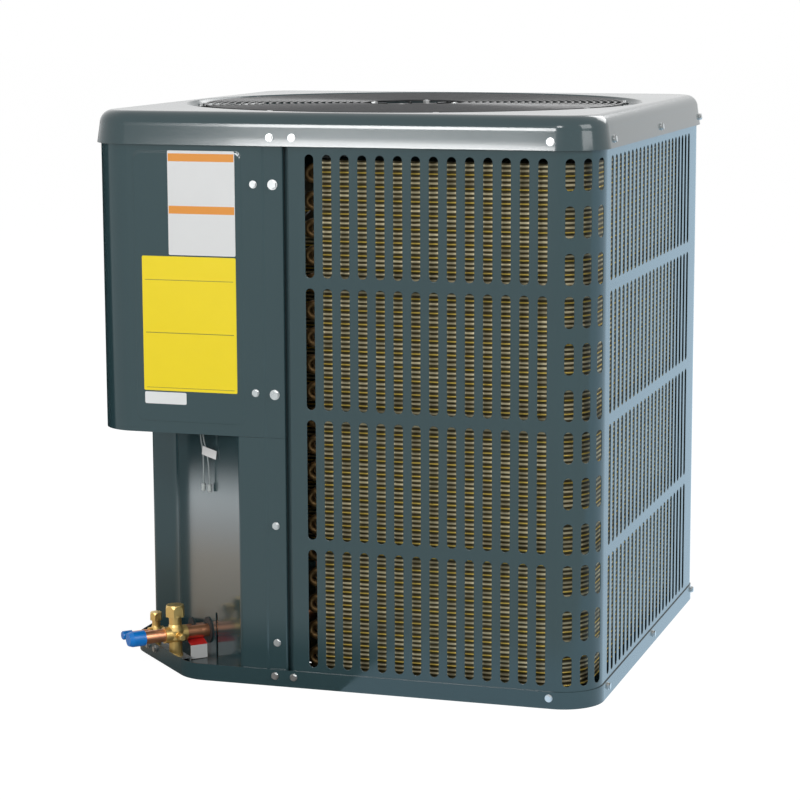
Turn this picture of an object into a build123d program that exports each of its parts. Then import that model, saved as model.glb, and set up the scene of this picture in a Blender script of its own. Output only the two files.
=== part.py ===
from build123d import *
import math
import os

# A residential condensing unit: a square louvred cabinet with a coil inside its
# walls, a fan in the top cap, a compressor on the base pan, and the service
# valves in a recess under the control compartment at the front left corner.
# Millimetres, +Z up, origin on the ground under the centre of the cabinet.
# The front is -Y. "Corner frame" means +X pointing out of the front left corner.

# ------------------------------------------------------------- cabinet walls
cabinet_side = 734.0        # across the outer faces of the wall sheets
corner_radius = 58.0        # outer radius of the rounded wall corners
wall_sheet = 1.2            # thickness of every painted sheet
wall_top = 794.5            # top edge of the wall sheets
seat_gap = 0.3              # clearance of a piece that sits in another
bend_radius = 2.5           # middle radius of a tight sheet bend

# ------------------------------------------------------------------ base pan
pan_rim_height = 24.0
pan_floor_top = 8.0         # upper face of the pan floor
pan_cut_reach = 422.5       # centre to the 45 degree cut of the pan corner
pan_cut_radius = 60.0       # rounding at both ends of the cut
foot_radius = 34.0
foot_place = 285.0          # feet lie at plus and minus this in X and Y
pad_height = 5.0            # stamped platform under the compressor
pad_side = 250.0
drain_length = 60.0
drain_width = 9.0
drain_place = 258.0

# ------------------------------------------------------------- louvre panels
slot_width = 12.7
slot_length = 169.7
slot_pitch = 25.4
slot_row_pitch = 184.4
slot_rows = 4
slot_low_end = 31.5         # lower end of the lowest row
front_slot_columns = 14
front_slot_first = -38.1    # first column on the front face
side_slot_columns = 22
side_slot_first = -279.7    # first column on the side face
short_slot_length = 43.2
short_slots_per_row = 3
corner_slot_columns = 3
louvre_edge = -69.9         # free edge of the louvre panel on the front
groove_depth = 12.0         # shadow groove between louvre panel and cover
groove_lap = 40.0           # flange that runs behind the cover
seam_start = 300.0          # back seam of the two louvre panels
seam_lap = 22.0

# ------------------------------------- control cover and service corner panel
cover_edge = -77.2          # free edge of the cover and the post on the front
cover_low = 357.6           # lower edge of the control cover
cover_screw_land = 29.2     # stepped band along the cover's free edge
land_step = 1.5             # depth of that step
recess_front = -146.1       # where the service recess starts on the front
recess_bend_x = -326.0      # where the sloping recess wall bends
recess_depth = 205.0        # depth of the recess behind the front face
field_right = -136.7        # raised field on the cover's front
field_left = -300.0
field_low = 373.0
field_top = 757.0
field_radius = 12.0
field_raise = 0.8
pipe_slot_width = 8.0       # open slot at the foot of the recess wall
pipe_slot_height = 72.0
pipe_slot_along = 104.0     # from the recess's front edge, along the wall

# ------------------------------------------------------------------- top cap
cap_top = 811.0
cap_roll = 19.0             # height of the rolled upper edge, down to the crease
cap_skirt = 27.0            # height of the flared skirt below the crease
cap_flare = 4.0             # how far the lip stands out past the crease
seat_drop = 6.0             # sunk ring that carries the fan guard
seat_ring_radius = 340.0
venturi_radius = 291.0
venturi_low = 725.0
venturi_roll = 12.0         # rounding from the ring into the venturi

# ----------------------------------------------------------------- fan guard
guard_wire = 3.0
guard_wire_sides = 8        # drawn wire with slight flats
guard_ring_first = 79.5
guard_ring_pitch = 10.5
guard_ring_count = 23
guard_arms = 8
guard_arm_turn = 22.5
guard_screw_radius = 317.5
eyelet_radius = 7.2
eyelet_thick = 1.6
hub_plate_outer = 76.0
hub_plate_inner = 50.0
hub_plate_thick = 2.5
hub_plate_lap = 0.5         # how far the welded arms sink into the hub plate

# ------------------------------------------------------------- fan and motor
motor_radius = 70.0
motor_low = 732.0
motor_high = 795.0
motor_boss_radius = 20.0
motor_boss_height = 10.0
motor_boss_bore_depth = 20.0
stud_circle = 63.0          # radius of the four motor studs
stud_radius = 2.5
stud_nut_across = 9.5
stud_nut_height = 4.5
shaft_radius = 6.35
shaft_low = 684.0
fan_radius = 279.0
fan_hub_radius = 17.0
fan_hub_low = 690.0
fan_hub_height = 30.0
spider_flat = 56.0          # radius where the spider's straps start to twist
spider_reach = 132.0
spider_width = 44.0
spider_thick = 3.0
blade_count = 4
blade_root_radius = 80.0
blade_thick = 2.0
blade_root_pitch = 34.0     # degrees from the fan's plane
blade_tip_pitch = 22.0
blade_root_chord = 118.0
blade_tip_chord = 226.0
blade_camber = 0.09         # rise of the blade's arc over its chord
blade_level = 710.0         # level of the spider and of the blades' crowns

# ---------------------------------------------------------------------- coil
coil_gap = 19.0             # from the wall sheet's inner face to the fins
coil_depth = 38.0
coil_corner_radius = 66.0   # outer radius of the bent fin pack
coil_tube_pitch = 19.05
coil_tube_rows = 38
coil_low = 22.0
coil_end = -34.0            # where the fins stop near the control corner
tube_sheet_thick = 2.0
tube_sheet_margin = 5.0
coil_foot_height = 14.0
coil_foot_length = 60.0
return_tube_radius = 4.76

# ---------------------------------------------------------------- compressor
shell_radius = 82.5
shell_low = 27.0
shell_high = 420.0
shell_crown = 46.0          # rise of the domed end
comp_plate_side = 232.0
comp_plate_thick = 4.0
comp_stud_pitch = 190.5
grommet_radius = 16.0
grommet_height = 12.0
comp_stud_radius = 4.0
comp_nut_across = 13.0
terminal_width = 62.0
terminal_depth = 30.0
terminal_height = 74.0
terminal_level = 300.0

# ------------------------------------------------------------ pipes and valves
suction_pipe_radius = 9.525     # 3/4 inch line
liquid_pipe_radius = 4.7625     # 3/8 inch line
discharge_pipe_radius = 6.35
pipe_bend = 34.0
valve_setback = 15.5            # from the pan's 45 degree cut in to the valve axes
suction_side = 17.0             # corner frame: sideways place of each valve
liquid_side = -58.0
suction_level = 46.0            # axis of the suction stub
liquid_level = 33.0
suction_port_level = 215.0      # where the suction line enters the shell
discharge_level = 492.0
drier_radius = 21.0
drier_length = 74.0
header_radius = 9.525
header_low = 250.0
header_high = 640.0
stub_reach = 62.0               # valve axis to the end of each stub
liquid_stub_reach = 52.0
plug_wall = 1.5
plug_grip = 13.0                # how much of the stub sits in its plug
plug_length = 25.0
liquid_plug_length = 15.0
hole_clearance = 5.5            # pipe to the hole in the recess wall
grommet_flange = 4.0
grommet_lip = 2.0

# -------------------------------------------------------------- control parts
box_diagonal = 415.0            # |X + Y| of the control box's sloping wall
box_top = 722.0
contactor_width = 58.0
contactor_depth = 56.0
contactor_height = 72.0
contactor_level = 560.0
armature_travel = 4.0
capacitor_radius = 25.0
capacitor_height = 112.0
capacitor_level = 560.0
strap_width = 16.0

# ----------------------------------------------------------------- leads
lead_diameter = 2.2
lead_cap_radius = 3.0
lead_cap_length = 11.0
lead_tag_line = [(-235.5, -283.4), (-226.2, -290.2), (-206.5, -302.0)]
lead_tag_thick = 0.6
lead_tag_height = 12.5
lead_tag_level = 318.0
lead_tag_slope = 7.0
bushing_radius = 8.0
lead_exit = (-238.0, -280.0)

# ----------------------------------------------------------------- fasteners
screw_across = 8.0              # hexagon of the small cabinet screws
screw_washer = 5.4
large_screw_across = 10.5
large_screw_washer = 7.2
screw_head = 3.6
screw_washer_thick = 1.0
screw_shank = 2.1
screw_length = 7.0

# ---------------------------------------------------------- worked-out values
half = cabinet_side / 2
mid = half - wall_sheet / 2                     # middle of the wall sheets
mid_radius = corner_radius - wall_sheet / 2
arc_centre = half - corner_radius
wall_inner = half - wall_sheet
rim_inner = half + seat_gap
rim_outer = rim_inner + wall_sheet
row_pitch_short = (slot_length - short_slot_length) / (short_slots_per_row - 1)
cap_inner = half + seat_gap
cap_outer = cap_inner + wall_sheet
cap_crease = cap_top - cap_roll
cap_lip = cap_crease - cap_skirt
seat_top = cap_top - seat_drop
hub_plate_low = seat_top + hub_plate_lap - hub_plate_thick
valve_reach = pan_cut_reach - valve_setback     # corner frame: centre to the valve axes
coil_outer = wall_inner - coil_gap
coil_mid = coil_outer - coil_depth / 2
coil_high = coil_low + coil_tube_pitch * coil_tube_rows
front_left = Rot(0, 0, 225)                     # turns +X out of that corner
diagonal_mirror = Plane(origin=(0, 0, 0), z_dir=(1, -1, 0))


# ------------------------------------------------------------------- helpers
def tube_wall(outer, inner, height):
    """A plain ring of the given radii, standing on its own origin."""
    return Cylinder(outer, height, align=on_base) - Cylinder(inner, height, align=on_base)


on_base = (Align.CENTER, Align.CENTER, Align.MIN)


def hexagon(across, height):
    """A hexagonal prism by its width across flats, standing on its origin."""
    return extrude(RegularPolygon(across / 2, 6, major_radius=False), height)


def sheet_strip(points, radii, low, high, thickness=wall_sheet):
    """A folded sheet: its plan follows the rounded line, its height is low to high."""
    path = FilletPolyline(*points, radius=radii)
    return Pos(0, 0, low) * extrude(trace(path, thickness), high - low)


def swap(points):
    """The same plan line on the other side of the front left diagonal."""
    return [(y, x) for x, y in points]


def rounded_square(side, radius):
    return RectangleRounded(side, side, radius)


def pipe(points, radii, radius):
    """A solid pipe of straight runs joined by tangent arcs."""
    path = FilletPolyline(*points, radius=radii) if radii else Polyline(*points)
    start = Plane(origin=path @ 0, z_dir=path % 0)
    return sweep(start * Circle(radius), path=path)


def screw(across, washer, level=0.0):
    """A hex washer head screw on its origin, with its shank pointing down."""
    head = hexagon(across, screw_head) + Cylinder(washer, screw_washer_thick, align=on_base)
    shank = Pos(0, 0, -screw_length) * Cylinder(screw_shank, screw_length, align=on_base)
    return Pos(0, 0, level) * (head + shank)


def facing(x, y, z, turn):
    """A place on a wall whose outward normal is turned from +X by this angle."""
    return Pos(x, y, z) * Rot(0, 0, turn) * Rot(0, 90, 0)


def on_front(x, z, out=0.0):
    return facing(x, -half - out, z, -90)


def on_right(y, z, out=0.0):
    return facing(half + out, y, z, 0)


def on_left(y, z, out=0.0):
    return facing(-half - out, y, z, 180)


def on_back(x, z, out=0.0):
    return facing(x, half + out, z, 90)


def all_round(places, out=0.0):
    """Fastener places repeated on the four faces: (face, sideways, height)."""
    face_of = {"front": on_front, "right": on_right, "left": on_left, "back": on_back}
    return [face_of[face](along, z, out) for face, along, z in places]


# ------------------------------------------------------------------ fasteners
# Heights and places of the screws, each with the face that it is driven into.
cap_screw_level = 777.0
cap_screw_play = 1.4        # the skirt's screws lean with its flare
base_screw_level = 15.0
cover_screw_x = -92.0
post_screw_x = -92.5
cap_screw_places = (
    [("front", x, cap_screw_level) for x in (-94.0, -61.5, 303.0)]
    + [("right", y, cap_screw_level) for y in (-287.0, 24.0, 318.0)]
    + [("left", y, cap_screw_level) for y in (-94.0, -61.5, 303.0)]
    + [("back", x, cap_screw_level) for x in (-287.0, 24.0, 318.0)]
)
base_screw_places = (
    [("front", x, base_screw_level) for x in (-95.5, -67.5, 304.5)]
    + [("right", y, base_screw_level) for y in (-283.0, 21.0, 318.5)]
    + [("left", y, base_screw_level) for y in (-95.5, -67.5, 304.5)]
    + [("back", x, base_screw_level) for x in (-283.0, 21.0, 318.5)]
)
cover_screw_levels = (712.0, 419.0)
land_screw_levels = (712.0, 420.5)
land_screw_x = -119.9
post_screw_levels = (232.0, 63.0)
rim_screw_sides = (-24.0, -52.0)        # corner frame: valve bracket screws


def shank_holes(places, play=seat_gap):
    """Clearance holes for the shanks at these places."""
    hole = Cylinder(screw_shank + play, 2 * screw_length)
    return [place * hole for place in places]


# ------------------------------------------------------------------- base pan
def pan_outline(reach, radius, cut_reach, cut_radius):
    """The cabinet's rounded square with its front left corner cut off at 45 degrees."""
    cut = cut_reach * math.sqrt(2) - reach
    corners = [(-cut, -reach), (reach, -reach), (reach, reach), (-reach, reach), (-reach, -cut)]
    radii = [cut_radius, radius, radius, radius, cut_radius]
    return make_face(FilletPolyline(*corners, radius=radii, close=True))


def make_base_pan():
    """A drawn pan: upright rim, flat floor, feet, compressor platform, drain slots."""
    outer = pan_outline(rim_outer, corner_radius + seat_gap + wall_sheet, pan_cut_reach, pan_cut_radius)
    inner = pan_outline(rim_inner, corner_radius + seat_gap, pan_cut_reach - wall_sheet, pan_cut_radius)
    rim = extrude(outer - inner, pan_rim_height)
    floor = Pos(0, 0, pan_floor_top - wall_sheet) * extrude(outer, wall_sheet)
    foot_blank = extrude(Circle(foot_radius), pan_floor_top, taper=-8)
    feet = [Pos(x, y, 0) * foot_blank for x in (-foot_place, foot_place) for y in (-foot_place, foot_place)]
    feet[0] = front_left * Pos(foot_place * 1.12, 0, 0) * foot_blank
    platform = Pos(0, 0, pan_floor_top) * extrude(RectangleRounded(pad_side, pad_side, 26), pad_height, taper=20)
    hollow = Pos(0, 0, pan_floor_top - wall_sheet) * extrude(
        RectangleRounded(pad_side - 8, pad_side - 8, 24), pad_height, taper=20)
    pan = rim + floor + feet + platform - hollow
    drain = SlotOverall(drain_length, drain_width)
    cuts = []
    for quarter in range(4):
        for side in (-95.0, 95.0):
            cuts.append(Rot(0, 0, 90 * quarter) * Pos(side, drain_place, 0) * extrude(drain, pan_rim_height))
    for x in (-comp_stud_pitch / 2, comp_stud_pitch / 2):
        for y in (-comp_stud_pitch / 2, comp_stud_pitch / 2):
            cuts.append(Pos(x, y, 0) * Cylinder(comp_stud_radius, pan_rim_height, align=on_base))
    rim_places = all_round(base_screw_places, seat_gap)
    return pan - cuts - shank_holes(rim_places + bracket_screw_positions())


# -------------------------------------------------------------- louvre panels
def slot_heights():
    """Middle height of each row of long slots, from the top row down."""
    low_middle = slot_low_end + slot_length / 2
    return [low_middle + slot_row_pitch * row for row in range(slot_rows)]


def slot_cutters():
    """All the slots of a louvre panel: front face, rounded corner and side face."""
    long_slot = extrude(SlotOverall(slot_length, slot_width), 6 * wall_sheet, both=True)
    short_slot = extrude(SlotOverall(short_slot_length, slot_width), 6 * wall_sheet, both=True)
    upright = Rot(0, 0, 90)
    cutters = []
    for z in slot_heights():
        for column in range(front_slot_columns):
            cutters.append(on_front(front_slot_first + slot_pitch * column, z) * long_slot)
        for column in range(side_slot_columns):
            cutters.append(on_right(side_slot_first + slot_pitch * column, z) * long_slot)
        for column in range(corner_slot_columns):
            step = math.degrees(slot_pitch / corner_radius) * (column - (corner_slot_columns - 1) / 2)
            turn = Pos(arc_centre, -arc_centre, 0) * Rot(0, 0, -45 + step)
            for part in range(short_slots_per_row):
                level = z + row_pitch_short * (part - (short_slots_per_row - 1) / 2)
                cutters.append(turn * Pos(corner_radius, 0, level) * Rot(0, 90, 0) * short_slot)
    return cutters


def groove_line():
    """Edge of a louvre panel by the cover: a flange behind it, then the groove."""
    edge = louvre_edge + wall_sheet / 2
    depth = -mid + groove_depth
    return [(edge - groove_lap, depth), (edge, depth), (edge, -mid)]


def make_louvre_panels():
    """Two folded sheets: front and right, and back and left, lapped at the back."""
    seam = seam_start
    front_line = groove_line() + [
        (mid, -mid), (mid, mid), (seam, mid),
        (seam - 3, mid - wall_sheet - seat_gap), (seam - 3 - seam_lap, mid - wall_sheet - seat_gap)]
    front_radii = [bend_radius, bend_radius, mid_radius, mid_radius, 1.5, 1.5]
    back_line = swap(groove_line()) + [(-mid, mid), (seam - 4, mid)]
    back_radii = [bend_radius, bend_radius, mid_radius]
    front = sheet_strip(front_line, front_radii, pan_floor_top, wall_top)
    back = sheet_strip(back_line, back_radii, pan_floor_top, wall_top)
    cutters = slot_cutters()
    holes = shank_holes(all_round(cap_screw_places), cap_screw_play) + shank_holes(all_round(base_screw_places))
    front -= cutters + holes
    back -= [mirror(cutter, about=diagonal_mirror) for cutter in cutters] + holes
    return front, back


# ----------------------------------------- control cover and service corner
def land_line():
    """Free edge of the cover and the post: return flange, then the stepped land."""
    edge = cover_edge - wall_sheet / 2
    land_end = cover_edge - cover_screw_land
    return [
        (edge, -mid + groove_depth - wall_sheet / 2 - seat_gap),
        (edge, -mid + land_step),
        (land_end + land_step, -mid + land_step),
        (land_end - land_step, -mid)]


def make_control_cover():
    """The cover of the control compartment, wrapped round the front left corner."""
    line = land_line() + [(-mid, -mid)] + swap(land_line())[::-1]
    radii = [bend_radius] * 3 + [mid_radius] + [bend_radius] * 3
    cover = sheet_strip(line, radii, cover_low, wall_top)
    width = field_right - field_left
    height = field_top - field_low
    field = extrude(RectangleRounded(height, width, field_radius), field_raise + wall_sheet / 2, taper=15)
    centre = on_front((field_right + field_left) / 2, (field_low + field_top) / 2, -wall_sheet / 2)
    cover += centre * field
    holes = shank_holes(all_round(cap_screw_places), cap_screw_play)
    holes += shank_holes(cover_screw_positions() + land_screw_positions())
    return cover - holes


def cover_screw_positions():
    return ([on_front(cover_screw_x, z, -land_step) for z in cover_screw_levels]
            + [on_left(cover_screw_x, z, -land_step) for z in cover_screw_levels])


def land_screw_positions():
    return ([on_front(land_screw_x, z) for z in land_screw_levels]
            + [on_left(land_screw_x, z) for z in land_screw_levels])


def post_screw_positions():
    return ([on_front(post_screw_x, z, -land_step) for z in post_screw_levels]
            + [on_left(post_screw_x, z, -land_step) for z in post_screw_levels])


def bracket_screw_positions():
    return [front_left * facing(pan_cut_reach, side, base_screw_level + 1, 0) for side in rim_screw_sides]


def recess_wall_frame():
    """A plane on the sloping recess wall: origin at its front end, X along it, Y up."""
    start = Vector(recess_front, -mid)
    end = Vector(recess_bend_x, -mid + recess_depth)
    along = (end - start).normalized()
    inward = Vector(along.Y, -along.X)
    return Plane(origin=start, x_dir=along, z_dir=inward)


def pipe_crossing(side):
    """How far along the sloping wall the pipe of a valve passes through it."""
    wall = recess_wall_frame()
    point = corner_point(valve_reach, side)
    toward = corner_point(0, side) - point
    distance = (wall.origin - point).dot(wall.z_dir) / toward.dot(wall.z_dir)
    return (point + toward * distance - wall.origin).dot(wall.x_dir)


def corner_point(reach, side, level=0.0):
    """A point of the corner frame in the cabinet's own frame."""
    turn = math.radians(225)
    x = reach * math.cos(turn) - side * math.sin(turn)
    y = reach * math.sin(turn) + side * math.cos(turn)
    return Vector(x, y, level)


def make_service_panel():
    """Corner post and recess wall in one sheet, with its pipe holes and slot."""
    bend = (recess_bend_x, -mid + recess_depth)
    left_end = (-mid, -mid + recess_depth)
    line = land_line() + [(recess_front, -mid), bend, left_end] + swap(land_line())[::-1]
    radii = [bend_radius] * 3 + [7.0, 16.0, 5.0] + [bend_radius] * 3
    panel = sheet_strip(line, radii, pan_floor_top, cover_low - seat_gap)
    wall = recess_wall_frame()
    depth = 12.0
    cuts = []
    for side, level, radius in pipe_passes():
        hole = Cylinder(radius + hole_clearance, depth)
        cuts.append(Location(wall) * Pos(pipe_crossing(side), level, 0) * hole)
    slot_top = pan_floor_top + pipe_slot_height
    slot = Pos(0, slot_top / 2, 0) * SlotOverall(slot_top, pipe_slot_width, rotation=90)
    cuts.append(Location(wall) * Pos(pipe_slot_along, 0, 0) * extrude(slot, depth, both=True))
    places = post_screw_positions() + all_round(base_screw_places)
    return panel - cuts - shank_holes(places)


def pipe_passes():
    """Sideways place, level and radius of the two pipes through the recess wall."""
    return [(suction_side, suction_level, suction_pipe_radius),
            (liquid_side, liquid_level, liquid_pipe_radius)]


# -------------------------------------------------------------------- top cap
def make_top_cap():
    """A drawn cap: rounded top edge, flared skirt, sunk ring and fan venturi."""
    outer = extrude(rounded_square(2 * cap_outer, corner_radius + seat_gap + wall_sheet), cap_top - cap_crease)
    roll = cap_top - cap_crease - 0.5
    outer = fillet(outer.faces().sort_by(Axis.Z)[-1].edges(), roll)
    inner = extrude(rounded_square(2 * cap_inner, corner_radius + seat_gap),
                    cap_top - cap_crease - wall_sheet)
    inner = fillet(inner.faces().sort_by(Axis.Z)[-1].edges(), roll - wall_sheet)
    crown = Pos(0, 0, cap_crease) * (outer - inner)
    drop = cap_crease - cap_lip
    flare = math.degrees(math.atan(cap_flare / drop))
    skirt_out = extrude(rounded_square(2 * cap_outer, corner_radius + seat_gap + wall_sheet),
                        -drop, taper=-flare)
    skirt_in = extrude(rounded_square(2 * cap_inner, corner_radius + seat_gap), -drop, taper=-flare)
    skirt = Pos(0, 0, cap_crease) * (skirt_out - skirt_in)
    opening = Pos(0, 0, cap_lip) * Cylinder(seat_ring_radius, cap_top, align=on_base)
    ring_in = venturi_radius + venturi_roll
    t = wall_sheet
    profile = Polyline(
        (seat_ring_radius + 2, cap_top), (seat_ring_radius - 1, cap_top),
        (seat_ring_radius - 3, seat_top), (ring_in, seat_top))
    profile += JernArc((ring_in, seat_top), (-1, 0), venturi_roll, 90)
    profile += Line((venturi_radius, seat_top - venturi_roll), (venturi_radius, venturi_low))
    profile += Line((venturi_radius, venturi_low), (venturi_radius + t, venturi_low))
    profile += Line((venturi_radius + t, venturi_low), (venturi_radius + t, seat_top - venturi_roll))
    profile += JernArc((venturi_radius + t, seat_top - venturi_roll), (0, 1), venturi_roll - t, -90)
    profile += Polyline(
        (ring_in, seat_top - t), (seat_ring_radius - 2, seat_top - t),
        (seat_ring_radius, cap_top - t), (seat_ring_radius + 2, cap_top - t),
        (seat_ring_radius + 2, cap_top))
    throat = revolve(Plane.XZ * make_face(profile), Axis.Z)
    cap = crown + skirt - opening + throat
    holes = [Rot(0, 0, guard_arm_turn + 360 / guard_arms * i) * Pos(guard_screw_radius, 0, seat_top)
             * Cylinder(screw_shank + seat_gap, 6 * t) for i in range(guard_arms)]
    return cap - holes - shank_holes(all_round(cap_screw_places))


# ------------------------------------------------------------------ fan guard
def guard_turns():
    return [Rot(0, 0, guard_arm_turn + 360 / guard_arms * i) for i in range(guard_arms)]


def make_fan_guard():
    """Concentric wires laid on eight radial wires, welded to a hub plate."""
    hub = Pos(0, 0, hub_plate_low) * tube_wall(hub_plate_outer, hub_plate_inner, hub_plate_thick)
    for i in range(4):
        hub -= Rot(0, 0, 90 * i) * Pos(stud_circle, 0, hub_plate_low) * Cylinder(stud_radius + seat_gap, 9)
    arm_start = hub_plate_inner + 4
    arm_length = guard_screw_radius - eyelet_radius + 1.2 - arm_start
    arm = Pos(arm_start, 0, seat_top + guard_wire / 2) * Rot(0, 90, 0) * Cylinder(
        guard_wire / 2, arm_length, align=on_base)
    eyelet = Pos(guard_screw_radius, 0, seat_top) * tube_wall(eyelet_radius, screw_shank + seat_gap, eyelet_thick)
    guard = hub
    for turn in guard_turns():
        guard += turn * (arm + eyelet)
    ring_level = seat_top + 1.4 * guard_wire
    for i in range(guard_ring_count):
        radius = guard_ring_first + guard_ring_pitch * i
        section = Plane.XZ * Pos(radius, 0) * RegularPolygon(guard_wire / 2, guard_wire_sides)
        guard += Pos(0, 0, ring_level) * revolve(section, Axis.Z)
    return guard


# ------------------------------------------------------------ motor and fan
def make_fan_motor():
    """A totally enclosed motor: domed can, lower boss with the shaft's bore, studs' lugs."""
    low = motor_low
    can = Pos(0, 0, low) * Cylinder(motor_radius, motor_high - low, align=on_base)
    can = fillet(can.edges().sort_by(Axis.Z)[-1], 3)
    can = fillet(can.edges().sort_by(Axis.Z)[0], 8)
    bell = Pos(0, 0, motor_high - 1) * Cone(52, 42, 6, align=on_base)
    boss = Pos(0, 0, low - motor_boss_height) * Cylinder(motor_boss_radius, motor_boss_height + 2, align=on_base)
    band = Pos(0, 0, (low + motor_high) / 2) * tube_wall(motor_radius + 1.6, motor_radius - 1, 3)
    bore = Pos(0, 0, low - motor_boss_height) * Cylinder(
        shaft_radius + seat_gap, motor_boss_bore_depth, align=on_base)
    return can + bell + boss + band - bore


def make_motor_studs():
    """Four long studs from the motor to the guard's hub, each with two nuts."""
    group = []
    for i in range(4):
        turn = Rot(0, 0, 90 * i) * Pos(stud_circle, 0, 0)
        rod = Pos(0, 0, motor_high) * Cylinder(stud_radius, cap_top - motor_high - 0.2, align=on_base)
        lower = Pos(0, 0, hub_plate_low - stud_nut_height) * hexagon(stud_nut_across, stud_nut_height)
        upper = Pos(0, 0, hub_plate_low + hub_plate_thick) * hexagon(stud_nut_across, stud_nut_height)
        group.append(turn * (rod + lower + upper))
    return Compound(children=group)


def make_motor_shaft():
    top = motor_low - motor_boss_height + motor_boss_bore_depth - seat_gap
    shaft = Pos(0, 0, shaft_low) * Cylinder(shaft_radius, top - shaft_low, align=on_base)
    return chamfer(shaft.edges().sort_by(Axis.Z)[0], 1)


def blade_section(chord, pitch, radius):
    """A thin cambered arc of this chord, turned to its pitch, at this radius."""
    rise = blade_camber * chord
    low = Polyline((-chord / 2, 0), (-chord / 2, blade_thick))
    top = ThreePointArc((-chord / 2, blade_thick), (0, rise + blade_thick), (chord / 2, blade_thick))
    end = Polyline((chord / 2, blade_thick), (chord / 2, 0))
    under = ThreePointArc((chord / 2, 0), (0, rise), (-chord / 2, 0))
    section = make_face(low + top + end + under)
    place = Plane(origin=(radius, 0, blade_level), x_dir=(0, 1, 0), z_dir=(1, 0, 0))
    return Location(place) * Rot(0, 0, pitch) * Pos(0, -rise, 0) * section


def spider_arm():
    """A strap that twists from the flat hub disc to the pitch of the blade's root."""
    sections = []
    for radius, share in ((30.0, 0.0), (spider_flat, 0.0), (blade_root_radius + 4, 1.0), (spider_reach, 0.92)):
        place = Plane(origin=(radius, 0, blade_level), x_dir=(0, 1, 0), z_dir=(1, 0, 0))
        strap = Rectangle(spider_width, spider_thick)
        sections.append(Location(place) * Rot(0, 0, share * blade_root_pitch) * strap)
    return loft(sections, ruled=True)


def make_fan_blades():
    """Four twisted, cambered blades on a spider with a split hub."""
    root = blade_section(blade_root_chord, blade_root_pitch, blade_root_radius)
    tip = blade_section(blade_tip_chord, blade_tip_pitch, fan_radius + 20)
    blank = loft([root, tip], ruled=True)
    reach = extrude(Circle(fan_radius), 400)
    blade = blank & Pos(0, 0, blade_level - 200) * reach
    hub = Pos(0, 0, fan_hub_low) * Cylinder(fan_hub_radius, fan_hub_height, align=on_base)
    disc = Pos(0, 0, blade_level) * Cylinder(spider_flat, spider_thick)
    fan = hub + disc
    arm = spider_arm()
    for i in range(blade_count):
        turn = Rot(0, 0, 360 / blade_count * i)
        fan += turn * arm
        fan += turn * blade
    bore = Pos(0, 0, fan_hub_low) * Cylinder(shaft_radius, fan_hub_height, align=on_base)
    return fan - bore


# ----------------------------------------------------------------------- coil
def coil_line(inset=0.0):
    """Middle line of the fin pack: front, right, back and left, open at the corner."""
    reach = coil_mid - inset
    return [(coil_end, -reach), (reach, -reach), (reach, reach), (-reach, reach), (-reach, coil_end)]


def make_coil_fins():
    radius = coil_corner_radius - coil_depth / 2
    return sheet_strip(coil_line(), [radius] * 3, coil_low, coil_high, coil_depth)


def make_tube_sheet():
    """The end plate of the coil, with a turned edge on its inner side."""
    low = coil_low - tube_sheet_margin
    high = coil_high + tube_sheet_margin
    reach = coil_outer + tube_sheet_margin
    inner = coil_outer - coil_depth - tube_sheet_margin
    x = coil_end - tube_sheet_thick / 2
    line = [(x, -reach), (x, -inner), (x + 15, -inner)]
    return sheet_strip(line, [bend_radius], low, high, tube_sheet_thick)


def return_bend(level, low_row, high_row):
    """A hairpin outside the end plate, joining two tubes of the coil."""
    rise = (high_row - low_row)
    start = coil_end - tube_sheet_thick
    y = -coil_mid + level
    z1 = coil_low + coil_tube_pitch * (low_row + 0.5)
    path = Line((start, y, z1), (start - 6, y, z1))
    path += ThreePointArc(
        (start - 6, y, z1), (start - 6 - coil_tube_pitch * rise / 2, y, z1 + coil_tube_pitch * rise / 2),
        (start - 6, y, z1 + coil_tube_pitch * rise))
    path += Line((start - 6, y, z1 + coil_tube_pitch * rise), (start, y, z1 + coil_tube_pitch * rise))
    return sweep(Plane(origin=(start, y, z1), z_dir=(-1, 0, 0)) * Circle(return_tube_radius), path=path)


def make_return_bends():
    """Hairpins at the coil's front end, one for each pair of tubes in two ranks."""
    bends = []
    for pair in range(coil_tube_rows // 2):
        for level in (-coil_depth / 4, coil_depth / 4):
            bends.append(return_bend(level, 2 * pair, 2 * pair + 1))
    return Compound(children=bends)


def make_coil_feet():
    """Rubber blocks that carry the coil above the pan floor."""
    block = Box(coil_foot_length, coil_depth - 8, coil_foot_height, align=on_base)
    places = [(90, -coil_mid, 0), (230, -coil_mid, 0), (coil_mid, -150, 90), (coil_mid, 150, 90),
              (-200, coil_mid, 0), (200, coil_mid, 0), (-coil_mid, 60, 90), (-coil_mid, 220, 90)]
    return Compound(children=[Pos(x, y, pan_floor_top) * Rot(0, 0, turn) * block for x, y, turn in places])


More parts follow.
